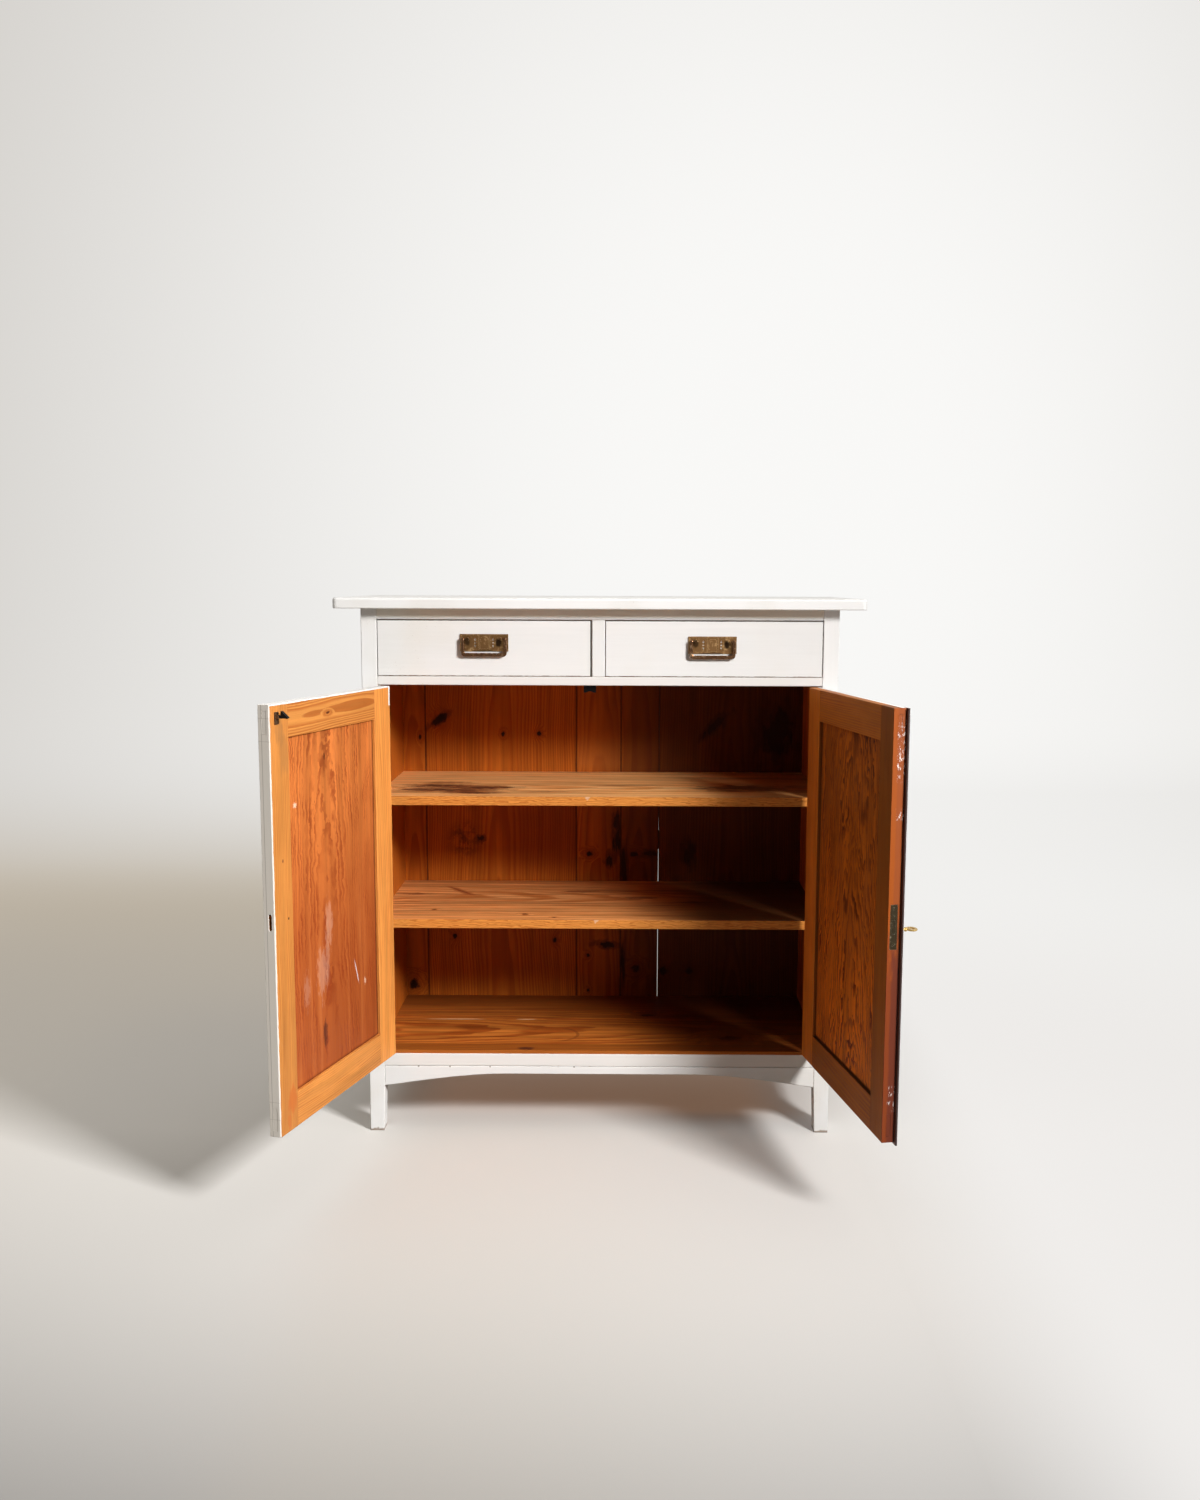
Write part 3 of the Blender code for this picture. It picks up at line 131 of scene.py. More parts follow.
# Nails in the back, with heads turned from (radius, height), and screws in the forend: (level, slot's turn).
NAIL_LEVELS = (0.157, 0.432, 0.689, 0.925)
NAIL_INSET = 0.022
NAIL_STRAY = 0.004
NAIL_HEAD = ((0.0030, 0.0), (0.0029, 0.0004), (0.0022, 0.0008), (0.0008, 0.0010))
SCREW_PLACE = (0.0013, 0.02585)
SCREWS = ((0.5205, 0.5), (0.5847, 1.3))
SCREW_RADIUS = 0.0030
SCREW_HEIGHT = 0.0003


def operation(kind):
    """A method of Field that adds a Math node."""
    return lambda field, *others: field.graph.math(kind, field, *others)


class Field:
    """A number that varies over a surface: arithmetic on it adds Math nodes to its material."""

    __add__ = __radd__ = operation("ADD")
    __sub__ = operation("SUBTRACT")
    __mul__ = __rmul__ = operation("MULTIPLY")
    __truediv__ = operation("DIVIDE")
    abs = operation("ABSOLUTE")
    sqrt = operation("SQRT")
    fract = operation("FRACT")
    max = operation("MAXIMUM")
    min = operation("MINIMUM")

    def __init__(self, graph, socket):
        self.graph = graph
        self.socket = socket

    def __rsub__(self, other):
        return self.graph.math("SUBTRACT", other, self)

    def ragged(self, scale, size):
        """The same number, wandering by about the given size."""
        return self + self.graph.wander(scale, size)

    def rise(self, low, high):
        """0 below low, 1 above high, smooth between."""
        inputs = {"Value": self, "From Min": low, "From Max": high}
        node = self.graph.node("MapRange", inputs, interpolation_type="SMOOTHSTEP")
        return Field(self.graph, node.outputs["Result"])

    def fall(self, low, high):
        """1 below low, 0 above high, smooth between."""
        return 1.0 - self.rise(low, high)

    def above(self, level):
        """1 above the level and 0 below it, with a border like that of paint."""
        return self.rise(level, level + BORDER)

    def below(self, level):
        return 1.0 - self.above(level)


class Graph:
    """A material and its nodes, built in few words. x, y and z are the part's coordinates at rest.

    For the world, which has no shader of its own here, they are the direction looked in.
    """

    def __init__(self, name, turn=None, owner=None):
        self.name = name
        self.material = owner or bpy.data.materials.new(name)
        self.material.use_nodes = True
        self.tree = self.material.node_tree
        self.tree.nodes.clear()
        self.output = self.node("OutputWorld" if owner else "OutputMaterial")
        if not owner:
            self.shader = self.node("BsdfPrincipled")
            self.tree.links.new(self.shader.outputs["BSDF"], self.output.inputs["Surface"])
        point = self.node("TexCoord").outputs["Generated" if owner else "Object"]
        if turn:
            inputs = {"Vector": point, "Center": DOOR_PIN[turn], "Angle": DOOR_TURN[turn]}
            point = self.node("VectorRotate", inputs, rotation_type="Z_AXIS").outputs["Vector"]
        self.point = point
        parts = self.node("SeparateXYZ", {"Vector": point}).outputs
        self.x, self.y, self.z = (Field(self, parts[k]) for k in "XYZ")
        self.axes = {"x": self.x, "y": self.y, "z": self.z}

    def feed(self, socket, value):
        if isinstance(value, Field):
            value = value.socket
        if isinstance(value, bpy.types.NodeSocket):
            self.tree.links.new(value, socket)
        elif isinstance(value, tuple) and len(value) == 3 and socket.type == "RGBA":
            socket.default_value = (*value, 1.0)
        else:
            socket.default_value = value

    def node(self, kind, inputs=None, **settings):
        node = self.tree.nodes.new("ShaderNode" + kind)
        for key, value in settings.items():
            setattr(node, key, value)
        for key, value in (inputs or {}).items():
            self.feed(node.inputs[key], value)
        return node

    def math(self, operation, *values):
        node = self.node("Math", dict(enumerate(values)), operation=operation)
        return Field(self, node.outputs["Value"])

    def vector(self, x, y, z):
        return self.node("CombineXYZ", {"X": x, "Y": y, "Z": z}).outputs["Vector"]

    def noise(self, vector, scale=1.0, detail=2.0, roughness=0.5):
        inputs = {"Vector": vector, "Scale": scale, "Detail": detail, "Roughness": roughness}
        return Field(self, self.node("TexNoise", inputs).outputs["Fac"])

    def stretched(self, x, y, z, shift=0.0, **settings):
        """Noise with so many waves per metre along each axis."""
        return self.noise(self.vector(self.x * x, self.y * y + shift, self.z * z), **settings)

    def wander(self, scale, size):
        return (self.noise(self.point, scale, detail=3.0, roughness=0.6) - 0.5) * (2.0 * size)

    def mix(self, factor, a, b, blend="MIX"):
        node = self.node("Mix", data_type="RGBA", blend_type=blend, clamp_factor=True)
        for index, value in ((0, factor), (6, a), (7, b)):
            self.feed(node.inputs[index], value)
        return node.outputs[2]

    def shade(self, colour, factor):
        """colour made lighter or darker by a factor."""
        grey = self.node("CombineColor", {"Red": factor, "Green": factor, "Blue": factor}).outputs["Color"]
        return self.mix(1.0, colour, grey, "MULTIPLY")

    def rounded(self, radius):
        return self.node("Bevel", {"Radius": radius}, samples=4).outputs["Normal"]

    def edges(self, radius):
        """Near 1 on edges and 0 on flats, from how far a rounded normal leaves the true one."""
        soft = self.rounded(radius)
        true = self.node("NewGeometry").outputs["Normal"]
        dot = self.node("VectorMath", {0: soft, 1: true}, operation="DOT_PRODUCT").outputs["Value"]
        return (1.0 - Field(self, dot)).rise(0.02, 0.22)

    def finish(self, colour, roughness, height, relief, rounding=0.0008, gloss=0.5):
        """Sets the shader; relief is what a height of 1 stands for, in metres."""
        self.shader.inputs["Specular IOR Level"].default_value = gloss
        self.feed(self.shader.inputs["Base Color"], colour)
        self.feed(self.shader.inputs["Roughness"], roughness)
        inputs = {"Height": height, "Distance": relief, "Strength": 1.0, "Normal": self.rounded(rounding)}
        bump = self.node("Bump", inputs)
        self.feed(self.shader.inputs["Normal"], bump.outputs["Normal"])
        return self.material


def hypot(a, b):
    """The distance that two fields at right angles make."""
    return (a * a + b * b).sqrt()


# Tones of bare wood: early wood, late wood, knot.
TONES = {
    "honey": ((0.6, 0.24, 0.054), (0.42, 0.128, 0.024), (0.13, 0.03, 0.008)),
    "panel": ((0.56, 0.165, 0.036), (0.24, 0.04, 0.008), (0.09, 0.02, 0.005)),
    "upper": ((0.98, 0.54, 0.212), (0.8, 0.345, 0.1), (0.085, 0.02, 0.008)),
    "shelf": ((0.78, 0.35, 0.118), (0.52, 0.175, 0.042), (0.085, 0.02, 0.008)),
    "floor": ((0.52, 0.165, 0.026), (0.31, 0.072, 0.01), (0.05, 0.01, 0.004)),
    "back": ((0.49, 0.128, 0.012), (0.29, 0.056, 0.005), (0.022, 0.005, 0.002)),
    "shade": ((0.66, 0.215, 0.026), (0.44, 0.105, 0.01), (0.07, 0.018, 0.005)),
    "flame": ((0.84, 0.225, 0.016), (0.12, 0.016, 0.0015), (0.06, 0.015, 0.004)),
    "drawer": ((0.68, 0.4, 0.185), (0.5, 0.25, 0.09), (0.12, 0.045, 0.015)),
}

# What shows in bare wood, in waves per metre across the grain and along it.
FIBRE = (520.0, 8.0)
PORE = (1300.0, 40.0)
STREAK = (75.0, 1.9)
BLOTCH = (24.0, 2.4)
CLOUD = (6.0, 2.6)


class Finish:
    """A colour, a roughness and a height over a surface."""

    def stain(self, mask, colour):
        self.colour = self.graph.mix(mask, self.colour, colour)


class Wood(Finish):
    """The grain of one pine board, sawn from a log whose heart runs along it.

    axes are the directions along the grain, across it and through the board. heart is where the heart lies
    across the board, and what brings the board's depth to its distance from the heart. lean is how fast that
    distance changes along the board, which makes arched figure. Ripples, (size, waves across, waves along),
    bend the rings. A knot is (along, across, radius, stretch).
    """

    def __init__(
        self, graph, tone, axes, seed, ring=0.004, heart=(0.0, 0.12), lean=0.03, drift=0.03,
        ripples=((0.005, 16.0, 4.0),), contrast=1.0, broken=0.0, blotch=0.42, streaky=0.0, knots=(),
    ):
        self.graph = graph
        early, late, knot_colour = TONES[tone]
        length, width, depth = (graph.axes[axis] for axis in axes)
        self.length = length
        self.width = width

        def waves(fineness, on_width=0.0, on_depth=0.0):
            across, along = fineness
            return graph.vector(width * across + on_width, depth * across + on_depth, length * along)

        slow = graph.noise(graph.vector(length * 1.6, seed, 0.0), detail=1.0) - 0.5
        radius = hypot(width - heart[0] + slow * drift, depth + heart[1] + length * lean)
        for size, *fineness in ripples:
            radius = radius + (graph.noise(waves(fineness, on_width=seed)) - 0.5) * (2.0 * size)
        core = halo = 0.0
        for knot_along, knot_across, size, stretch in knots:
            uneven = graph.noise(graph.point, 1.1 / size, detail=3.0, roughness=0.6) - 0.5
            distance = hypot((length - knot_along) / stretch, width - knot_across) + uneven * (1.3 * size)
            radius = radius + distance.fall(0.4 * size, 3.2 * size) * (1.6 * size)
            core = distance.fall(0.45 * size, 1.05 * size).max(core)
            halo = distance.fall(0.6 * size, 2.8 * size).max(halo)
        years = graph.noise(graph.vector(radius * 70.0, seed, length * 0.6), roughness=0.6)
        turn = (radius / ring + years * 2.4).fract()
        rings = turn.rise(0.2, 0.86) * turn.fall(0.9, 1.0)
        fibre = graph.noise(waves(FIBRE, on_width=seed))
        streak = graph.noise(waves(STREAK, on_depth=seed), detail=3.0, roughness=0.6)
        pore = graph.noise(waves(PORE, on_depth=seed), detail=1.0)
        cloud = graph.noise(waves(CLOUD, on_width=seed), detail=3.0)
        broad = graph.noise(waves(BLOTCH, on_depth=seed), detail=3.0, roughness=0.65)
        strength = rings * (years * 0.7 + streak * 0.9 - 0.1) * contrast
        if broken:
            patch = graph.noise(graph.vector(width * 32.0, depth * 9.0 + seed, length * 13.0))
            strength = strength * (1.0 - broken + patch.rise(0.36, 0.62) * broken)
        colour = graph.mix(strength, early, late)
        light = 0.53 + fibre * 0.24 + streak * 0.36 + cloud * 0.34 - pore.rise(0.62, 0.72) * 0.16
        light = light + (broad - 0.5) * blotch + (streak - 0.5) * streaky
        colour = graph.shade(colour, light)
        if knots:
            colour = graph.mix(halo * 0.6, colour, late)
            colour = graph.mix(core, colour, knot_colour)
        self.colour = colour
        self.fibre = fibre
        self.height = rings * 0.35 + fibre * 0.5 + streak * 0.4
        self.roughness = 0.48 + fibre * 0.18 - rings * 0.08

    def mark(
        self, along, across, half_length, half_width, colour, strength,
        rough=0.5, slant=0.0, fine=1.0, where=1.0,
    ):
        """A stain or scrape of about the given half sizes, ragged along the grain, where the mask is 1."""
        graph = self.graph
        off = self.length - along
        fine_along, fine_across = fine * 0.9 / half_length, fine * 1.6 / half_width
        place = graph.vector(self.length * fine_along, self.width * fine_across, along * 9.0)
        uneven = (graph.noise(place, detail=3.0, roughness=0.65) - 0.5) * (2.0 * rough)
        distance = hypot(off / half_length, (self.width - across + off * slant) / half_width) + uneven
        self.stain(distance.fall(0.55, 1.0) * strength * where, colour)


class Paint(Finish):
    """Old white oil paint, brushed along the board; wear is how far its edges are chipped."""

    def __init__(self, graph, along, seed, white=WHITE, wear=1.0):
        self.graph = graph
        strokes = (field * BRUSH[axis == along] + seed for axis, field in graph.axes.items())
        brush = graph.noise(graph.vector(*strokes))
        cloud = graph.noise(graph.point, 4.0, detail=3.0, roughness=0.6)
        peel = graph.noise(graph.point, 160.0)
        colour = graph.mix(cloud.rise(0.45, 0.75), white, YELLOWED)
        colour = graph.shade(colour, 0.965 + brush * 0.05)
        grain = graph.noise(graph.point, 90.0, detail=3.0, roughness=0.7)
        chips = graph.edges(0.0012) * (grain + cloud * 0.5).rise(0.86 - 0.05 * wear, 0.97 - 0.05 * wear)
        specks = graph.noise(graph.point, 420.0).rise(0.735, 0.755) * cloud.rise(0.5, 0.62)
        worn = chips.max(specks * 0.5)
        self.colour = graph.mix(worn, colour, CHIPPED)
        self.roughness = 0.36 + cloud * 0.18 + worn * 0.3
        self.height = brush * 0.35 + peel * 0.25 + cloud * 0.8 - worn * 0.9


def dress(node, material):
    mesh = NODES[node].data
    mesh.materials.clear()
    mesh.materials.append(material)


def paint_white(name, along, wear, seed):
    """White all over, with the marks that the photo shows on the piece, and painted light: lighter posts and top
    board, and warm light in the shade under the top.
    """
    graph = Graph(name)
    # The posts and the top board take the lighter white, as painted light.
    gets_painted_light = "post" in name or name == "top_board"
    paint = Paint(graph, along, seed, PAINTED_LIGHT_WHITE if gets_painted_light else WHITE, wear)
    if name == "top_board":
        # Painted light: the top board's upper face is whiter still.
        paint.stain(graph.z.rise(*TOP_FACE_Z) * 0.85, (0.95, 0.945, 0.94))
    if name == "apron":
        for x in APRON_SPOTS_X:
            distance = hypot(graph.x - x, graph.z - APRON_SPOTS_Z).ragged(300.0, 0.0012)
            paint.stain(distance.fall(0.001, 0.0022) * 0.75, (0.2, 0.155, 0.11))
    if name == "top_rail":
        # Painted warm light in the shade under the top board's overhang.
        paint.stain(graph.z.rise(*TOP_SHADE_Z) * 0.9, (0.95, 0.875, 0.76))
    if "post" in name:
        foot = graph.z.ragged(130.0, 0.006).fall(*FOOT_DIRT_Z)
        paint.stain(foot * 0.8, (0.24, 0.15, 0.085))
    relief = TOP_RELIEF if name == "top_board" else PAINT_RELIEF
    dress(name, graph.finish(paint.colour, paint.roughness, paint.height, relief))


def coat(graph, wood, paint, mask):
    """Bare wood with paint where the mask is 1; the paint's rim stands a little proud."""
    colour = graph.mix(mask, wood.colour, paint.colour)
    roughness = mask * paint.roughness + (1.0 - mask) * wood.roughness
    height = mask * (paint.height + 0.5) + (1.0 - mask) * wood.height * 0.4
    dress(graph.name, graph.finish(colour, roughness, height, PAINT_RELIEF, gloss=0.2))


def leave_bare(graph, wood):
    dress(graph.name, graph.finish(wood.colour, wood.roughness, wood.height, WOOD_RELIEF, gloss=0.12))


def dress_white():
    """Pieces that are white all over."""
    for node in ("top_board", "top_rail", "drawer_divider", "apron", "left_front_post", "right_front_post"):
        along = "z" if "post" in node or node == "drawer_divider" else "x"
        wear = 0.2 if node == "top_board" else 1.0
        paint_white(node, along, wear, len(node) * 1.7)


def dress_sides():
    """End boards: white outside, bare inside."""
    for side, sign in (("left", -1.0), ("right", 1.0)):
        graph = Graph(side + "_side")
        wood = Wood(graph, "back", "zyx", seed=3.0 * sign, heart=(0.2, 0.5))
        paint = Paint(graph, "z", seed=sign)
        mask = (graph.x * sign).rise(SIDE_INSIDE_X + 0.003, SIDE_INSIDE_X + 0.004)
        coat(graph, wood, paint, mask)


def dress_rails():
    """Rails: white in front, bare behind and on top."""
    for node, paint_depth in (("drawer_rail", 0.004), ("bottom_rail", 0.0016)):
        graph = Graph(node)
        wood = Wood(graph, "floor", "xyz", seed=len(node), heart=(0.1, -0.1))
        paint = Paint(graph, "x", seed=len(node), white=DULL_WHITE)
        mask = graph.y.ragged(60.0, 0.0008).below(FRONT_Y + paint_depth)
        coat(graph, wood, paint, mask)


# The grain of the shelves and the bottom board, and the dark stains on them.
SHELF_GRAIN = {
    "ring": 0.0085, "lean": 0.04, "drift": 0.06, "contrast": 2.0, "blotch": 1.1, "broken": 0.4,
    "streaky": 1.3, "ripples": ((0.01, 11.0, 2.6), (0.003, 50.0, 9.0)),
}
SHELF_DARK = (0.06, 0.014, 0.009)

# Stains on the upper shelf: along, across, half length, half width, strength.
UPPER_SHELF_STAINS = (
    (-0.345, 0.185, 0.075, 0.024, 0.85), (-0.3, 0.13, 0.1, 0.026, 0.9),
    (-0.25, 0.165, 0.07, 0.022, 0.85), (-0.262, 0.094, 0.06, 0.014, 0.85),
    (-0.385, 0.135, 0.045, 0.018, 0.7), (0.31, 0.17, 0.1, 0.04, 0.7),
    (-0.33, 0.23, 0.06, 0.014, 0.5), (0.06, 0.2, 0.09, 0.012, 0.4),
    (-0.12, 0.11, 0.07, 0.01, 0.35),
)


def dress_upper_shelf():
    """Pale, with dark stains in a paler red rim, and painted shade towards the right end."""
    graph = Graph("upper_shelf")
    wood = Wood(graph, "upper", "xyz", seed=1.0, heart=(0.17, -0.58), **SHELF_GRAIN)
    for along, across, long, wide, strength in UPPER_SHELF_STAINS:
        wood.mark(along, across, 1.1 * long, 2.0 * wide, (0.42, 0.13, 0.04), 0.5 * strength, rough=1.0, fine=1.2)
        wood.mark(along, across, 1.1 * long, 1.1 * wide, SHELF_DARK, strength, rough=1.9, fine=3.4)
    # Painted shade: darker towards the right end.
    wood.stain(graph.x.rise(0.18, 0.42) * 0.5, (0.13, 0.034, 0.008))
    mark_shelf_front(graph, wood, -0.0253, 0.6965)
    leave_bare(graph, wood)


def dress_lower_shelf():
    """Two boards with a dark joint, a slanting burn at the left, and painted shade that makes it nearly black at
    the right.
    """
    graph = Graph("lower_shelf")
    knots = ((-0.157, 0.092, 0.005, 1.6), (-0.352, 0.128, 0.004, 1.5), (-0.095, 0.065, 0.004, 1.6))
    wood = Wood(graph, "shelf", "xyz", seed=8.0, heart=(0.24, -0.32), knots=knots, **SHELF_GRAIN)
    wood.mark(-0.314, 0.298, 0.034, 0.009, SHELF_DARK, 0.9, rough=0.8, slant=1.25)
    wood.mark(-0.314, 0.298, 0.052, 0.022, (0.34, 0.085, 0.022), 0.6, rough=0.7, slant=1.25)
    for place in ((0.09, 0.24), (0.205, 0.2), (-0.415, 0.271), (-0.05, 0.3)):
        wood.mark(*place, 0.045, 0.012, SHELF_DARK, 0.6, rough=1.3, fine=2.0)
    joint = (graph.y.ragged(18.0, 0.0008) - SHELF_JOINT_Y).abs()
    wood.stain(joint.fall(0.0006, 0.0022) * 0.75, (0.1, 0.028, 0.01))
    wood.stain(graph.y.rise(SHELF_JOINT_Y - 0.002, SHELF_JOINT_Y) * 0.18, (0.4, 0.11, 0.026))
    # Painted shade: nearly black towards the right.
    wood.stain(graph.x.rise(0.02, 0.26) * 0.9, (0.03, 0.005, 0.0015))
    mark_shelf_front(graph, wood, -0.0065, 0.44)
    leave_bare(graph, wood)


def dress_bottom_board():
    """A darker band in front, pale scrapes, part of a pot's ring, and painted shade towards the back and the
    right.
    """
    graph = Graph("bottom_board")
    knots = ((0.277, 0.116, 0.018, 1.7), (0.103, 0.264, 0.012, 1.8))
    wood = Wood(graph, "floor", "xyz", seed=15.0, heart=(0.16, -0.05), knots=knots, **SHELF_GRAIN)
    band = graph.y.ragged(20.0, 0.001).fall(0.0735, 0.075)
    wood.stain(band * 0.75, (0.24, 0.066, 0.009))
    for along, half_length in ((-0.322, 0.078), (-0.166, 0.026)):
        wood.mark(along, 0.2335, half_length, 0.0032, (0.86, 0.58, 0.32), 0.8, rough=0.7, fine=2.0)
    wood.mark(-0.154, 0.048, 0.024, 0.009, SHELF_DARK, 0.85, rough=0.8)
    pot_radius = 0.042
    ring = (hypot((graph.x + 0.096) / 1.15, graph.y - 0.135) - pot_radius).ragged(40.0, 0.003).abs()
    wood.stain(ring.fall(0.0015, 0.0045) * graph.x.rise(-0.1, -0.07) * 0.55, (0.17, 0.045, 0.01))
    # Painted shade towards the back and towards the right.
    wood.stain(graph.y.rise(0.18, 0.38) * 0.72, (0.16, 0.036, 0.005))
    wood.stain(graph.x.rise(0.00, 0.25) * 0.72, (0.06, 0.01, 0.002))
    leave_bare(graph, wood)


# Knots of the back boards: along, across, radius, stretch.
BACK_KNOTS = {
    "back_board_1": ((0.191, -0.442, 0.013, 1.2), (0.777, -0.42, 0.004, 2.0)),
    "back_board_2": (
        (0.82, -0.37, 0.012, 1.1), (0.785, -0.229, 0.005, 1.4), (0.786, -0.146, 0.006, 1.3),
        (0.308, -0.345, 0.006, 1.4), (0.3, -0.111, 0.006, 1.5),
    ),
    "back_board_3": ((0.506, -0.03, 0.009, 0.8), (0.264, -0.033, 0.005, 1.2), (0.179, -0.033, 0.004, 1.3)),
    "back_board_4": ((0.505, 0.072, 0.013, 0.6), (0.232, 0.079, 0.011, 1.1)),
    "back_board_5": ((0.227, 0.143, 0.011, 1.1), (0.227, 0.204, 0.01, 1.1)),
}

# Sooty marks on them: along, across, half length, half width, slant.
BACK_MARKS = {
    "back_board_1": (),
    "back_board_2": ((0.819, -0.373, 0.019, 0.013, -0.9), (0.541, -0.281, 0.008, 0.012, 0.0)),
    "back_board_3": (
        (0.578, 0.033, 0.024, 0.01, 0.0), (0.535, 0.034, 0.03, 0.011, 0.0),
        (0.49, 0.016, 0.016, 0.01, 0.0), (0.289, 0.009, 0.01, 0.024, 0.8),
    ),
    "back_board_4": (
        (0.47, 0.05, 0.06, 0.008, 0.0), (0.24, 0.048, 0.05, 0.007, 0.0),
        (0.507, 0.11, 0.007, 0.018, 0.0),
    ),
    "back_board_5": (
        (0.509, 0.202, 0.034, 0.014, 0.0), (0.79, 0.4, 0.06, 0.04, 0.0),
        (0.804, 0.254, 0.03, 0.015, -0.95),
    ),
}
SOOT = (0.016, 0.005, 0.003)
SOOT_RIM = (0.11, 0.022, 0.006)


def dress_back():
    """Back boards: stained and sooty inside, painted shade to the right and painted light low in the third
    board's top bay, weathered outside.
    """
    for index, (node, knots) in enumerate(BACK_KNOTS.items()):
        graph = Graph(node)
        low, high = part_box(node)
        wood = Wood(
            graph, "back", "zxy", seed=21.0 + 4.0 * index, ring=0.0045, contrast=0.9,
            heart=(0.5 * (low.x + high.x), -0.33), drift=0.05, lean=0.015, streaky=0.7, knots=knots,
        )
        old = graph.y.ragged(30.0, 0.0004).rise(BACK_OUTSIDE_Y - 0.002, BACK_OUTSIDE_Y - 0.001)
        inside = 1.0 - old
        for along, across, *size, slant in BACK_MARKS[node]:
            rim = (1.6 * half for half in size)
            wood.mark(along, across, *rim, SOOT_RIM, 0.6, rough=1.0, slant=slant, where=inside)
            wood.mark(along, across, *size, SOOT, 0.9, rough=1.1, slant=slant, where=inside)
        if node == "back_board_2":
            bay = graph.z.rise(0.44, 0.5) * graph.z.fall(0.62, 0.68) * graph.x.rise(-0.28, -0.16)
            wood.stain(bay * inside * 0.45, (0.15, 0.016, 0.002))
            cloud = graph.noise(graph.point, 70.0, detail=3.0, roughness=0.7)
            smudge = (hypot(graph.x + 0.318, graph.z - 0.539) + (cloud - 0.5) * 0.012).fall(0.02, 0.056)
            wood.stain(smudge * cloud.rise(0.36, 0.66) * inside * 0.75, (0.06, 0.015, 0.005))
        if node == "back_board_3":
            # Painted light, low in the top bay.
            bay = graph.z.rise(0.69, 0.72) * graph.z.fall(0.78, 0.86)
            wood.stain(bay * inside * 0.4, (0.62, 0.185, 0.034))
        seam = (graph.x - low.x).min(high.x - graph.x).ragged(40.0, 0.0008)
        wood.stain(seam.fall(0.0006, 0.003) * 0.75, (0.035, 0.008, 0.003))
        # Painted shade inside, darker towards the right.
        wood.stain(graph.x.rise(-0.1, 0.16) * inside * 0.82, (0.04, 0.008, 0.002))
        weather_back(graph, wood, old)
        leave_bare(graph, wood)


def weather_back(graph, wood, old):
    """The outside of a back board, where the mask is 1: rough from the saw, grey-brown and dusty."""
    wood.stain(old * 0.5, (0.4, 0.275, 0.165))
    dust = graph.stretched(40.0, 0.0, 3.5, 5.0, detail=4.0, roughness=0.65)
    wood.stain(dust.rise(0.46, 0.72) * old * 0.55, (0.5, 0.385, 0.265))
    wood.stain(dust.fall(0.3, 0.46) * old * 0.45, (0.13, 0.07, 0.036))
    saw = graph.noise(graph.vector(graph.x * 5.0, 8.0, graph.z * 300.0 + graph.x * 14.0))
    wood.stain(saw.rise(0.52, 0.7) * old * 0.22, (0.15, 0.085, 0.045))
    wood.height = wood.height + saw * old * 1.6


def mark_shelf_front(graph, wood, splash_x, splash_z):
    """The front edge of a shelf: stronger colour, crossed by wavy grain, with a splash of white paint."""
    front = graph.y.ragged(50.0, 0.0005).below(SHELF_FRONT_Y)
    wave = graph.stretched(24.0, 0.0, 150.0, 2.0)
    line = (graph.z * 260.0 + wave * 4.0 + graph.x * 9.0).fract()
    late = line.rise(0.35, 0.85) * line.fall(0.9, 1.0)
    edge = graph.mix(late * 0.75, (0.72, 0.28, 0.056), (0.42, 0.115, 0.018))
    wood.stain(front, graph.shade(edge, 0.72 + wood.fibre * 0.5))
    splash = hypot((graph.x - splash_x) * 0.8, graph.z - splash_z).ragged(170.0, 0.007)
    wood.stain(splash.fall(0.003, 0.005) * front * 0.45, (0.74, 0.62, 0.48))


DOOR_PARTS = ("hinge_stile", "meeting_stile", "top_rail", "bottom_rail", "panel")

# Tones of each door's frame and of its panel.
DOOR_TONES = {"left": ("honey", "panel"), "right": ("shade", "flame")}

# How light each piece of a door is, low down and high up: partly the wood's own tone, partly painted light and
# shade.
DOOR_TONE_AND_SHADE = {
    "left": ((1.24, 1.24), (0.8, 0.9), (0.95, 0.95), (1.05, 1.05), (0.62, 0.98)),
    "right": ((1.02, 0.92), (0.52, 0.38), (0.64, 0.64), (0.56, 0.56), (0.94, 0.5)),
}

# The grain of the frames, of the left door's top rail, which has an eye, and of the panels.
FRAME_GRAIN = {"ring": 0.0044, "contrast": 1.1, "lean": 0.02, "blotch": 0.9, "broken": 0.5}
EYE_GRAIN = {
    "ring": 0.003, "contrast": 1.6, "heart": (0.897, 0.0), "lean": 0.0, "ripples": ((0.004, 16.0, 4.0),),
    "knots": ((-0.195, 0.896, 0.003, 3.0),),
}
PANEL_GRAIN = {
    "left": {
        "ring": 0.0048, "contrast": 1.25, "drift": 0.08, "lean": 0.02, "broken": 0.7, "blotch": 0.5,
        "streaky": 0.6, "ripples": ((0.007, 14.0, 4.0), (0.0034, 60.0, 48.0), (0.0012, 190.0, 150.0)),
    },
    "right": {
        "ring": 0.0044, "contrast": 1.55, "drift": 0.08, "lean": 0.075, "broken": 0.5, "blotch": 0.6,
        "streaky": 0.4, "ripples": ((0.01, 9.0, 3.5), (0.01, 36.0, 7.0), (0.0026, 110.0, 60.0)),
    },
}


def door_grain(side, sign, part):
    if part == "panel":
        return {"heart": (sign * 0.19, 0.1), **PANEL_GRAIN[side]}
    if (side, part) == ("left", "top_rail"):
        return EYE_GRAIN
    return {"heart": (sign * 0.3, 0.1), **FRAME_GRAIN}


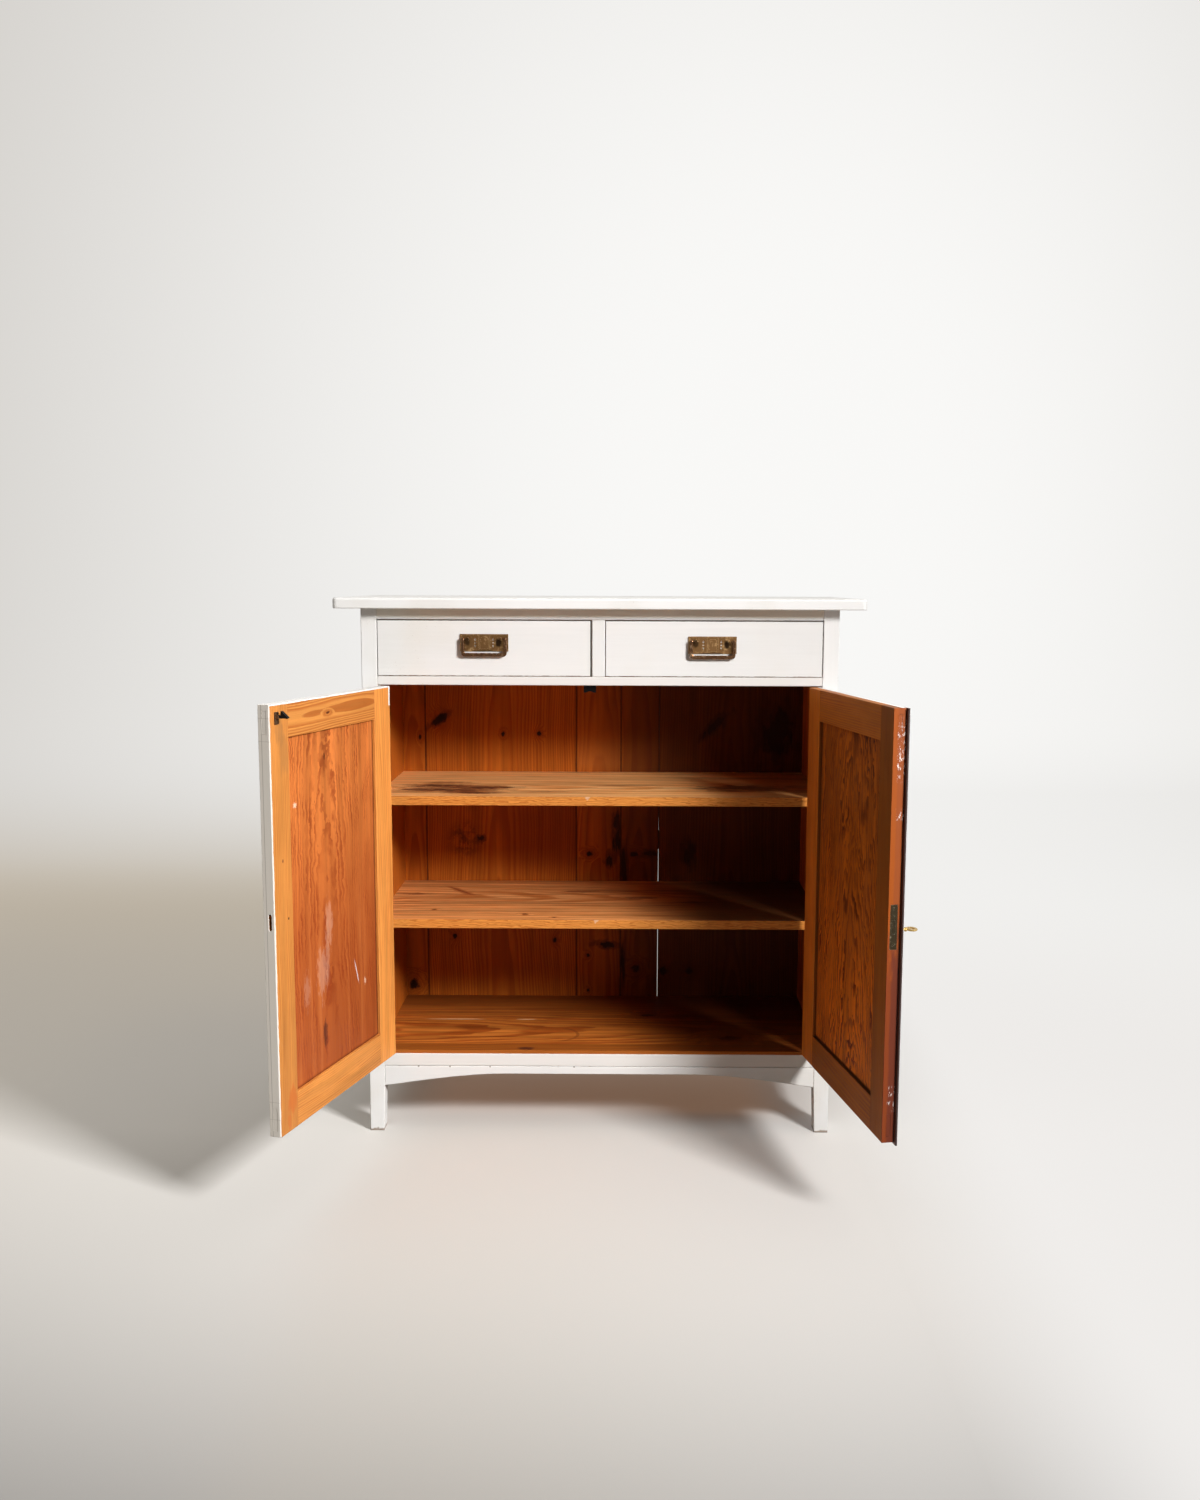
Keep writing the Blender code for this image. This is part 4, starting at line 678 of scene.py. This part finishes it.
def dress_doors():
    """Doors: bare inside and white outside. The left one's free edge is white, the right one's stained."""
    for side, sign in (("left", -1.0), ("right", 1.0)):
        for index, part in enumerate(DOOR_PARTS):
            graph = Graph(f"{side}_door_{part}", turn=side)
            axes = "xzy" if "rail" in part else "zxy"
            seed = 40.0 + 6.0 * index + 3.0 * sign
            tone = DOOR_TONES[side][part == "panel"]
            wood = Wood(graph, tone, axes, seed=seed, **door_grain(side, sign, part))
            low_gain, high_gain = DOOR_TONE_AND_SHADE[side][index]
            gain = low_gain + graph.z.rise(0.25, 0.8) * (high_gain - low_gain)
            wood.colour = graph.shade(wood.colour, gain)
            paint = Paint(graph, axes[0], seed=seed)
            mask = graph.y.ragged(70.0, 0.0005).below(PANEL_PAINT_Y if part == "panel" else FRAME_PAINT_Y)
            if part == "panel":
                mark_panel(graph, wood, side, sign)
            elif side == "left":
                mark_left_frame(wood, part)
                mask = mask.max(coat_left_edges(graph, paint))
            else:
                mask = mask * (1.0 - stain_right_edge(graph, wood))
                shade_right_ledges(graph, wood, part)
            coat(graph, wood, paint, mask)


def shade_right_ledges(graph, wood, part):
    """Painted shade on the ledges of the right door's frame, under its panel and beside it."""
    if part == "bottom_rail":
        ledge, strength = graph.z.rise(PANEL_FOOT_Z - 0.0012, PANEL_FOOT_Z - 0.0004), 0.92
    elif part == "hinge_stile":
        ledge, strength = (graph.x - PANEL_SIDE_X).fall(0.0002, 0.001), 0.6
    else:
        return
    flush = graph.y.fall(DOOR_INSIDE_Y - 0.0011, DOOR_INSIDE_Y - 0.0003)
    wood.stain(ledge * flush * strength, (0.022, 0.007, 0.003))


def coat_left_edges(graph, paint):
    """Where paint covers the left door's top, upper hinge corner and free edge; the free edge greyed with
    painted shade, and dirty along a line and at its joints.
    """
    top = graph.z.ragged(45.0, 0.0009).above(DOOR_TOP_Z - 0.0028)
    free = graph.x.ragged(45.0, 0.0007).above(-0.003)
    corner = graph.x.ragged(60.0, 0.0016).fall(0.0062 - DOOR_EDGE_X, 0.007 - DOOR_EDGE_X)
    corner = corner * graph.z.ragged(80.0, 0.003).rise(0.886, 0.89)
    # Painted shade: the free edge's paint greyed.
    paint.stain(free * 0.75, (0.6, 0.545, 0.47))
    grime = (graph.y - (FRONT_Y + 0.0062)).abs().fall(0.0002, 0.0009) * free
    paint.stain(grime * 0.55, (0.2, 0.17, 0.13))
    for level in EDGE_JOINTS_Z:
        joint = (graph.z.ragged(90.0, 0.0012) - level).abs().fall(0.0002, 0.0008) * free
        paint.stain(joint * 0.4, (0.32, 0.28, 0.23))
    return top.max(free).max(corner)


# Scuffs on the left panel: along, across, half length, half width, strength.
PANEL_SCUFFS = (
    (0.505, -0.193, 0.045, 0.014, 0.18), (0.42, -0.165, 0.05, 0.02, 0.17),
    (0.4, -0.11, 0.035, 0.012, 0.12), (0.743, -0.084, 0.005, 0.006, 0.85),
    (0.358, -0.327, 0.008, 0.004, 0.6), (0.45, -0.185, 0.06, 0.008, 0.14),
)


def mark_panel(graph, wood, side, sign):
    """Age on the panels: the left one is scuffed and redder below, the right one swirled; dark rims of dirt and
    painted shade.
    """
    if side == "left":
        wood.stain(graph.z.fall(0.4, 0.84) * 0.5, (0.3, 0.042, 0.007))
        streak = graph.stretched(34.0, 0.0, 1.6, 4.0).rise(0.52, 0.72)
        wood.stain(streak * 0.22, (0.74, 0.25, 0.065))
        for *place, strength in PANEL_SCUFFS:
            wood.mark(*place, (0.8, 0.56, 0.42), strength, rough=1.5, fine=3.2)
        wood.mark(0.385, -0.294, 0.03, 0.0022, (0.62, 0.54, 0.56), 0.85, rough=0.3, slant=-0.32)
        for place in ((0.302, -0.17, 0.026, 0.009), (0.817, -0.189, 0.008, 0.004)):
            wood.mark(*place, (0.075, 0.014, 0.006), 0.85, rough=1.2, fine=1.6)
    else:
        swirl = graph.stretched(14.0, 0.0, 5.0, 9.0).rise(0.45, 0.7)
        wood.stain(swirl * 0.35, (0.36, 0.105, 0.018))
    # Painted shade, with some dirt on the left panel, along the foot and the hinge side.
    foot = (graph.z - PANEL_FOOT_Z).ragged(60.0, 0.0012)
    wood.stain(foot.fall(0.001, 0.0065) * (0.92 if side == "right" else 0.45), (0.02, 0.006, 0.003))
    edge = (PANEL_SIDE_X - graph.x * sign).ragged(60.0, 0.0012)
    wood.stain(edge.fall(0.0008, 0.006) * 0.6, (0.045, 0.012, 0.004))


def mark_left_frame(wood, part):
    """Stains and spots on the left door's frame."""
    if part == "meeting_stile":
        wood.mark(0.224, -0.04, 0.032, 0.016, (0.46, 0.115, 0.022), 0.75, rough=0.9)
        wood.mark(0.19, -0.03, 0.016, 0.009, (0.46, 0.115, 0.022), 0.6, rough=0.9)
        wood.mark(0.551, -0.044, 0.003, 0.003, (0.06, 0.02, 0.01), 0.9, rough=0.2)
        wood.mark(0.655, -0.03, 0.004, 0.003, (0.16, 0.05, 0.02), 0.8, rough=0.2)
        for place in ((0.845, -0.043, 0.05), (0.88, -0.03, 0.03)):
            wood.mark(*place, 0.014, (0.27, 0.125, 0.042), 0.4, rough=1.2)
    if part == "hinge_stile":
        wood.mark(0.52, -0.43, 0.16, 0.006, (0.52, 0.17, 0.03), 0.5, rough=0.8)


def stain_right_edge(graph, wood):
    """The right door's free edge: stained, darker downwards, with painted shade outwards beside the strip,
    flecked with white paint.
    """
    edge = graph.x.ragged(50.0, 0.0004).below(0.003)
    cloud = graph.stretched(40.0, 90.0, 22.0, detail=3.0, roughness=0.65)
    inner = (graph.y + (cloud - 0.5) * 0.006).rise(0.0255, 0.03)
    upper = (graph.z + (cloud - 0.5) * 0.25).rise(0.46, 0.56)
    red = graph.mix(upper, (0.19, 0.036, 0.007), (0.28, 0.06, 0.005))
    brown = graph.mix(upper, (0.12, 0.024, 0.01), (0.24, 0.054, 0.01))
    colour = graph.mix(inner, brown, red)
    # Painted shade on the outer part of the edge, beside the strip.
    shade_by_strip = (graph.y + (cloud - 0.5) * 0.003).fall(FRONT_Y + 0.0008, FRONT_Y + 0.003)
    colour = graph.mix(shade_by_strip, colour, (0.035, 0.014, 0.012))
    wood.stain(edge, colour)
    fleck = graph.stretched(300.0, 320.0, 130.0, detail=3.0, roughness=0.7)
    zone = (graph.z - 0.855).abs().fall(0.025, 0.06)
    for level in (0.746, 0.262, 0.236):
        zone = zone.max((graph.z - level).abs().fall(0.004, 0.012))
    flecks = fleck.rise(0.57, 0.62) * zone * edge * graph.y.fall(0.0275, 0.029)
    wood.stain(flecks * 0.9, (0.74, 0.73, 0.72))
    return edge


# Near black, partly worn and partly painted shade.
STRIP_WORN_AND_SHADED = (0.03, 0.011, 0.009)


def dress_astragal():
    """The strip on the right door: white outside, dark and worn on its edge and back, black there partly as
    painted shade.
    """
    graph = Graph("astragal", turn="right")
    paint = Paint(graph, "z", seed=2.0)
    behind = graph.y.ragged(60.0, 0.0004).above(0.0108)
    edge = graph.x.ragged(60.0, 0.0005).below(-0.0048)
    paint.stain(behind, (0.17, 0.048, 0.022))
    paint.stain(behind * graph.x.ragged(90.0, 0.0006).fall(-0.0032, -0.0014), STRIP_WORN_AND_SHADED)
    paint.stain(edge, STRIP_WORN_AND_SHADED)
    dress("astragal", graph.finish(paint.colour, paint.roughness, paint.height, relief=0.0004))


# The boards of a drawer, with the directions along, across and through each.
DRAWER_PARTS = (
    ("front", "xzy"), ("left_side", "yzx"), ("right_side", "yzx"), ("back", "xzy"), ("bottom", "xyz"),
)


def dress_drawers():
    """Drawers: white fronts on bare boxes; also the rail and the runner inside, which are bare."""
    for side in ("left", "right"):
        for index, (part, axes) in enumerate(DRAWER_PARTS):
            node = f"{side}_drawer_{part}"
            graph = Graph(node)
            seed = 80.0 + 5.0 * index + len(side)
            wood = Wood(graph, "drawer", axes, seed=seed, heart=(0.9, 0.2))
            if part == "front":
                paint = Paint(graph, "x", seed=seed, wear=1.4)
                mark_drawer_front(graph, paint, node)
                mask = graph.y.ragged(60.0, 0.0008).below(FRONT_Y + 0.003)
                coat(graph, wood, paint, mask)
            else:
                leave_bare(graph, wood)
    for node, axes in (("drawer_back_rail", "xzy"), ("centre_runner", "yxz")):
        graph = Graph(node)
        wood = Wood(graph, "drawer", axes, seed=len(node), heart=(0.3, 0.2))
        leave_bare(graph, wood)


def mark_drawer_front(graph, paint, node):
    """Painted shade of the gaps along a drawer front's top and sides, and paint rubbed off along its lower edge.
    """
    low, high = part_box(node)
    rag = graph.wander(120.0, 0.0004)
    # Painted shade of the gaps, along the top and the sides.
    gap_shade = (high.z - graph.z + rag).fall(0.0008, 0.0017) * 0.95
    gap_shade = gap_shade.max((graph.x - low.x + rag).fall(0.0004, 0.0012) * 0.7)
    wide = 0.003 if "left" in node else 0.001
    gap_shade = gap_shade.max((high.x - graph.x + rag).fall(wide - 0.0006, wide) * 0.9)
    paint.stain(gap_shade, (0.03, 0.019, 0.012))
    rub = graph.stretched(26.0, 0.0, 0.0, 3.0, detail=3.0, roughness=0.65)
    worn = (graph.z - low.z + rag).fall(0.0006, 0.0016) * rub.rise(0.42, 0.58)
    paint.stain(worn * 0.85, (0.24, 0.125, 0.06))


def metal(name, dark, bright, roughness, worn_from, metallic=1.0, dirt_and_shade=()):
    """Aged metal, bright where it is rubbed, with dark patches of dirt and painted shade, each (x, z, half
    width, half height, strength).
    """
    graph = Graph(name)
    cloud = graph.noise(graph.point, 120.0, detail=3.0, roughness=0.65)
    pits = graph.noise(graph.point, 900.0)
    rub = (graph.edges(0.0009) * 0.75 + cloud.rise(worn_from, worn_from + 0.2) * 0.6).min(1.0)
    colour = graph.mix(rub, dark, bright)
    for x, z, half_x, half_z, strength in dirt_and_shade:
        near = hypot((graph.x - x) / half_x, (graph.z - z) / half_z) + (cloud - 0.5) * 0.9
        colour = graph.mix(near.fall(0.45, 1.0) * strength, colour, (0.018, 0.01, 0.006))
    graph.shader.inputs["Metallic"].default_value = metallic
    roughness = roughness + cloud * 0.2 - rub * 0.1
    return graph.finish(colour, roughness, pits * 0.4 + cloud * 0.6, METAL_RELIEF, rounding=0.0003)


def dress_metal():
    """Pulls, lock, key, hinges and catch. Gives the metals that nails and screws share."""
    bail = metal("bail_brass", (0.15, 0.072, 0.036), (0.86, 0.58, 0.34), 0.17, 0.56)
    forend = metal("old_forend", (0.055, 0.042, 0.024), (0.5, 0.43, 0.3), 0.34, 0.57)
    iron = metal("black_iron", (0.02, 0.018, 0.017), (0.07, 0.06, 0.05), 0.42, 0.66)
    steel = metal("dull_steel", (0.2, 0.165, 0.12), (0.46, 0.42, 0.35), 0.36, 0.52)
    gold = metal("key_brass", (0.52, 0.34, 0.115), (0.86, 0.62, 0.27), 0.28, 0.45)
    for side in ("left", "right"):
        low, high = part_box(f"{side}_pull_plate")
        wide, tall = high.x - low.x, high.z - low.z
        # Dark patches on the plate by the bail's posts and under it: dirt and painted shade.
        dirt_and_shade = (
            (low.x + 0.8 * wide, low.z + 0.52 * tall, 0.085 * wide, 0.34 * tall, 0.92),
            (low.x + 0.15 * wide, low.z + 0.58 * tall, 0.07 * wide, 0.3 * tall, 0.75),
            (low.x + 0.5 * wide, low.z + 0.02 * tall, 0.3 * wide, 0.1 * tall, 0.6),
        )
        plate = metal(f"{side}_plate_brass", (0.235, 0.122, 0.048), (0.8, 0.52, 0.24), 0.3, 0.54, dirt_and_shade=dirt_and_shade)
        dress(f"{side}_pull_plate", plate)
        dress(f"{side}_pull_bail", bail)
        for level in ("lower", "upper"):
            dress(f"{side}_{level}_post_leaf", steel)
            dress(f"{side}_{level}_door_leaf", steel)
    for node in ("catch_strike", "catch_hook"):
        dress(node, iron)
    for node in ("lock_case", "lock_bolt"):
        dress(node, forend)
    dress("key", gold)
    dress("catch_base", metal("rusty_iron", (0.105, 0.052, 0.022), (0.2, 0.1, 0.045), 0.55, 0.62, 0.6))
    return {"iron": iron, "forend": forend}


def link(name, data):
    obj = bpy.data.objects.new(name, data)
    bpy.context.scene.collection.objects.link(obj)
    return obj


def add_mesh(name, verts, faces, material):
    mesh = bpy.data.meshes.new(name)
    mesh.from_pydata(verts, [], faces)
    mesh.materials.append(material)
    return link(name, mesh)


def add_piece(name, solids, material, body):
    """One piece of several solids, each given by its verts and faces."""
    verts, faces = [], []
    for solid_verts, solid_faces in solids:
        first = len(verts)
        verts += solid_verts
        faces += [tuple(first + k for k in face) for face in solid_faces]
    obj = add_mesh(name, verts, faces, material)
    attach(obj, body)


def box(low, high):
    """Verts and faces of a box between its lowest and its highest corner."""
    xs, ys, zs = zip(low, high)
    verts = [(x, y, z) for x in xs for y in ys for z in zs]
    return verts, ((0, 1, 3, 2), (4, 6, 7, 5), (0, 4, 5, 1), (2, 3, 7, 6), (0, 2, 6, 4), (1, 5, 7, 3))


def add_back_tongues():
    """Loose tongues in the joints of the back boards, and the strip and the splinter in the crack."""
    near, far = TONGUE_Y
    boxes = []
    for k in (1, 2, 3):
        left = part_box(f"back_board_{k}")
        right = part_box(f"back_board_{k + 1}")
        low = (left[1].x, near, left[0].z + TONGUE_SHORT)
        high = (right[0].x, far, left[1].z - TONGUE_SHORT)
        boxes.append(box(low, high))
    crack, _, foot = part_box("back_board_5")[0]
    strip_left, strip_right = (crack + x for x in STRIP_X)
    boxes.append(box((strip_left, near, foot + TONGUE_SHORT), (strip_right, far, STRIP_TOP_Z)))
    low = (strip_left, near + SPLINTER_THIN, SPLINTER_Z[0])
    high = (crack, far - SPLINTER_THIN, SPLINTER_Z[1])
    boxes.append(box(low, high))
    graph = Graph("back_tongues")
    wood = Wood(graph, "back", "zyx", seed=60.0, contrast=0.5)
    colour = graph.shade(wood.colour, 0.25 + wood.fibre * 0.2)
    material = graph.finish(colour, wood.roughness, wood.height, PAINT_RELIEF)
    add_piece("back_tongues", boxes, material, "carcass")


def skin(first, n, rings):
    """Faces over rings of n verts, from the first vert on, with a cap on the last ring."""
    faces = []
    for ring in range(rings - 1):
        start = first + ring * n
        for k in range(n):
            a, b = start + k, start + (k + 1) % n
            faces.append((a, b, b + n, a + n))
    last = first + (rings - 1) * n
    return faces + [tuple(range(last, last + n))]


def lathe(profile, place, axis, steps=14):
    """Verts and faces of a turned head: profile is (radius, height) from the rim to the middle, along axis."""
    turn = axis.to_track_quat("Z", "Y")
    verts = []
    for radius, height in profile:
        for k in range(steps):
            a = math.tau * k / steps
            verts.append(place + turn @ Vector((radius * math.cos(a), radius * math.sin(a), height)))
    return verts, skin(0, steps, len(profile))


def slotted(radius, height, place, axis, spin):
    """Verts and faces of a screw head: two half discs with a slot between them, on a lower disc."""
    turn = axis.to_track_quat("Z", "Y")
    verts, faces = lathe(((radius, 0.0), (radius * 0.98, height * 0.35)), place, axis)
    slot, steps = radius * 0.14, 8
    rings = ((0.98, 0.35), (0.98, 0.75), (0.86, 1.0))
    for half in (1, -1):
        faces += [face[::half] for face in skin(len(verts), steps + 1, len(rings))]
        for shrink, level in rings:
            for k in range(steps + 1):
                a = math.radians(8.0 + 164.0 * k / steps)
                x, y = radius * shrink * math.cos(a), max(radius * shrink * math.sin(a), slot) * half
                x, y = x * math.cos(spin) - y * math.sin(spin), x * math.sin(spin) + y * math.cos(spin)
                verts.append(place + turn @ Vector((x, y, height * level)))
    return verts, faces


def add_nails(material):
    """Nails through the back boards into the shelves, the bottom and the rail under the drawers."""
    heads = []
    out = Vector((0.0, 1.0, 0.0))
    for number in range(1, 6):
        low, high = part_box(f"back_board_{number}")
        inset = min(NAIL_INSET, 0.3 * (high.x - low.x))
        for level in NAIL_LEVELS:
            for k, x in enumerate((low.x + inset, high.x - inset)):
                stray = NAIL_STRAY * math.sin(7.0 * number + 3.0 * k + 9.0 * level)
                heads.append(lathe(NAIL_HEAD, Vector((x, high.y, level + stray)), out, steps=10))
    add_piece("back_nails", heads, material, "carcass")


def add_screws(material):
    """Slotted screws in the lock's forend, which stands on the right door."""
    turn = Matrix.Rotation(-DOOR_TURN["right"], 4, "Z")
    pin = Vector(DOOR_PIN["right"])
    axis = turn @ Vector((-1.0, 0.0, 0.0))
    heads = []
    for level, spin in SCREWS:
        place = pin + turn @ (Vector((*SCREW_PLACE, level)) - pin)
        heads.append(slotted(SCREW_RADIUS, SCREW_HEIGHT, place, axis, spin))
    add_piece("forend_screws", heads, material, "right_door")


def add_stage():
    """A pale floor that sweeps up into a pale wall behind."""
    floor = [(y, 0.0) for y in FLOOR_STOPS]
    far = FLOOR_STOPS[-1]
    wall = [(far, 0.0)]
    for k in range(1, COVE_STEPS + 1):
        a = math.radians(90.0 * k / COVE_STEPS)
        wall.append((far + COVE_RADIUS * math.sin(a), COVE_RADIUS * (1.0 - math.cos(a))))
    wall.append((far + COVE_RADIUS, WALL_TOP))
    for name, points in (("floor", floor), ("backdrop", wall)):
        verts = [(x, y, z) for y, z in points for x in (-STAGE_HALF, STAGE_HALF)]
        faces = [(2 * k, 2 * k + 1, 2 * k + 3, 2 * k + 2) for k in range(len(points) - 1)]
        obj = add_mesh(name, verts, faces, stage_material(name))
        obj.data.polygons.foreach_set("use_smooth", [True] * len(faces))
        if name == "backdrop":
            obj.visible_diffuse = False
            obj.visible_shadow = False


def stage_material(name):
    """Pale for the eye, partly by a glow, and dimmer for the light that it throws back on the object."""
    graph = Graph(name)
    x, y, z = graph.x, graph.y, graph.z
    path = graph.node("LightPath").outputs
    seen = sum(Field(graph, path[f"Is {kind} Ray"]) for kind in ("Camera", "Glossy", "Transmission")).min(1.0)
    # Painted shade: the floor's colour darkens towards the front.
    pale = graph.shade((0.83, 0.81, 0.785), (0.85 + y * 0.52).min(0.86).max(0.24))
    graph.feed(graph.shader.inputs["Base Color"], graph.mix(seen, (0.175, 0.155, 0.135), pale))
    graph.shader.inputs["Roughness"].default_value = 0.85
    graph.shader.inputs["Specular IOR Level"].default_value = 0.15

    # The glow's colour: bright behind at the right, warm on the floor, and reddish under the cupboard as painted
    # bounce light.
    bright = hypot(x - 0.9, (z - 1.7) * 0.8).fall(0.5, 6.0)
    colour = graph.mix(bright, (0.61, 0.585, 0.55), (0.945, 0.94, 0.925))
    warm = graph.mix(x.rise(-0.3, 0.6), (0.62, 0.53, 0.4), (0.885, 0.865, 0.845))
    floor = (y + x.rise(-0.6, 0.4) * 1.4).fall(1.7, 3.6) * y.rise(-2.6, -1.4) * x.rise(-4.6, -3.1)
    colour = graph.mix(floor, colour, warm)
    under = x.abs().fall(0.3, 0.6) * y.rise(0.02, 0.14) * y.fall(0.4, 0.6)
    colour = graph.mix(under, colour, (0.72, 0.42, 0.26))
    colour = graph.mix(x.fall(-12.0, -4.5), colour, (0.8415, 0.8375, 0.8245))

    # The glow's share: small round the cupboard, smallest in the left door's shadow, most of it far away.
    away = 0.15 + (y + z * 1.2).rise(0.2, 4.4) * 0.85
    away = away - x.fall(-0.55, -0.35) * x.rise(-1.5, -1.0) * y.fall(0.5, 1.2) * 0.11
    for far in (x.rise(0.4, 0.85), y.fall(-3.2, -1.7), x.fall(-4.6, -3.1)):
        away = away.max(far * STAGE_GLOW)
    away = away.max(under * 0.21)
    emission = graph.node("Emission", {"Color": colour, "Strength": 1.0}).outputs["Emission"]
    blend = graph.node("MixShader", {0: away * seen, 1: graph.shader.outputs["BSDF"], 2: emission})
    graph.tree.links.new(blend.outputs["Shader"], graph.output.inputs["Surface"])
    return graph.material


def add_light():
    """One lamp, and a room that is brightest above, behind and at the left."""
    lamp = bpy.data.lights.new("key", "AREA")
    lamp.shape = "SQUARE"
    lamp.size = KEY_SIZE
    lamp.spread = KEY_SPREAD
    lamp.energy = KEY_WATTS
    lamp.color = KEY_COLOUR
    key = link("key", lamp)
    key.location = KEY_PLACE
    key.rotation_euler = (KEY_AIM - KEY_PLACE).to_track_quat("-Z", "Y").to_euler()

    world = bpy.data.worlds.new("room")
    bpy.context.scene.world = world
    graph = Graph("room", owner=world)
    behind = graph.z * 0.5 + graph.y * 0.8
    light = ROOM_FRONT + behind.rise(-0.2, 0.7) * (ROOM_BACK - ROOM_FRONT)
    light = light + graph.z.rise(0.72, 0.92) * ROOM_ABOVE
    light = light + (graph.y * 0.4 - graph.x * 0.9).rise(0.45, 0.95) * graph.z.fall(0.25, 0.5) * ROOM_LEFT
    path = graph.node("LightPath").outputs
    seen = Field(graph, path["Is Camera Ray"])
    shiny = Field(graph, path["Is Glossy Ray"])
    shine = ROOM_SHINE + graph.z.rise(0.05, 0.65) * (ROOM_SHINE_ABOVE - ROOM_SHINE)
    strength = light * (1.0 - seen) * (1.0 - shiny) + seen * ROOM_SEEN + shine * shiny
    colour = graph.mix(seen, ROOM_COLOUR, ROOM_SEEN_COLOUR)
    back = graph.node("Background", {"Color": colour, "Strength": strength})
    graph.tree.links.new(back.outputs["Background"], graph.output.inputs["Surface"])


def add_camera():
    camera = bpy.data.cameras.new("camera")
    camera.sensor_fit = "VERTICAL"
    camera.sensor_height = SENSOR
    camera.lens = FOCAL_PIXELS * SENSOR / PHOTO_HEIGHT
    camera.shift_x = (0.5 * PHOTO_WIDTH - PRINCIPAL_X) / PHOTO_HEIGHT
    camera.shift_y = (PRINCIPAL_Y - 0.5 * PHOTO_HEIGHT) / PHOTO_HEIGHT
    pitch, roll, yaw = (math.radians(a) for a in (PITCH_DOWN, ROLL, YAW_RIGHT))
    forward = Vector((math.sin(yaw) * math.cos(pitch), math.cos(yaw) * math.cos(pitch), -math.sin(pitch)))
    level = Vector((math.cos(yaw), -math.sin(yaw), 0.0))
    upright = level.cross(forward)
    right = math.cos(roll) * level + math.sin(roll) * upright
    up = math.cos(roll) * upright - math.sin(roll) * level
    turn = Matrix((right, up, -forward)).transposed().to_4x4()
    obj = link("camera", camera)
    obj.matrix_world = Matrix.Translation(EYE) @ turn
    bpy.context.scene.camera = obj


dress_white()
dress_sides()
dress_rails()
dress_upper_shelf()
dress_lower_shelf()
dress_bottom_board()
dress_back()
dress_doors()
dress_astragal()
dress_drawers()
metals = dress_metal()
add_back_tongues()
add_nails(metals["iron"])
add_screws(metals["forend"])
add_stage()
add_light()
add_camera()
bpy.context.scene.view_settings.view_transform = "Standard"
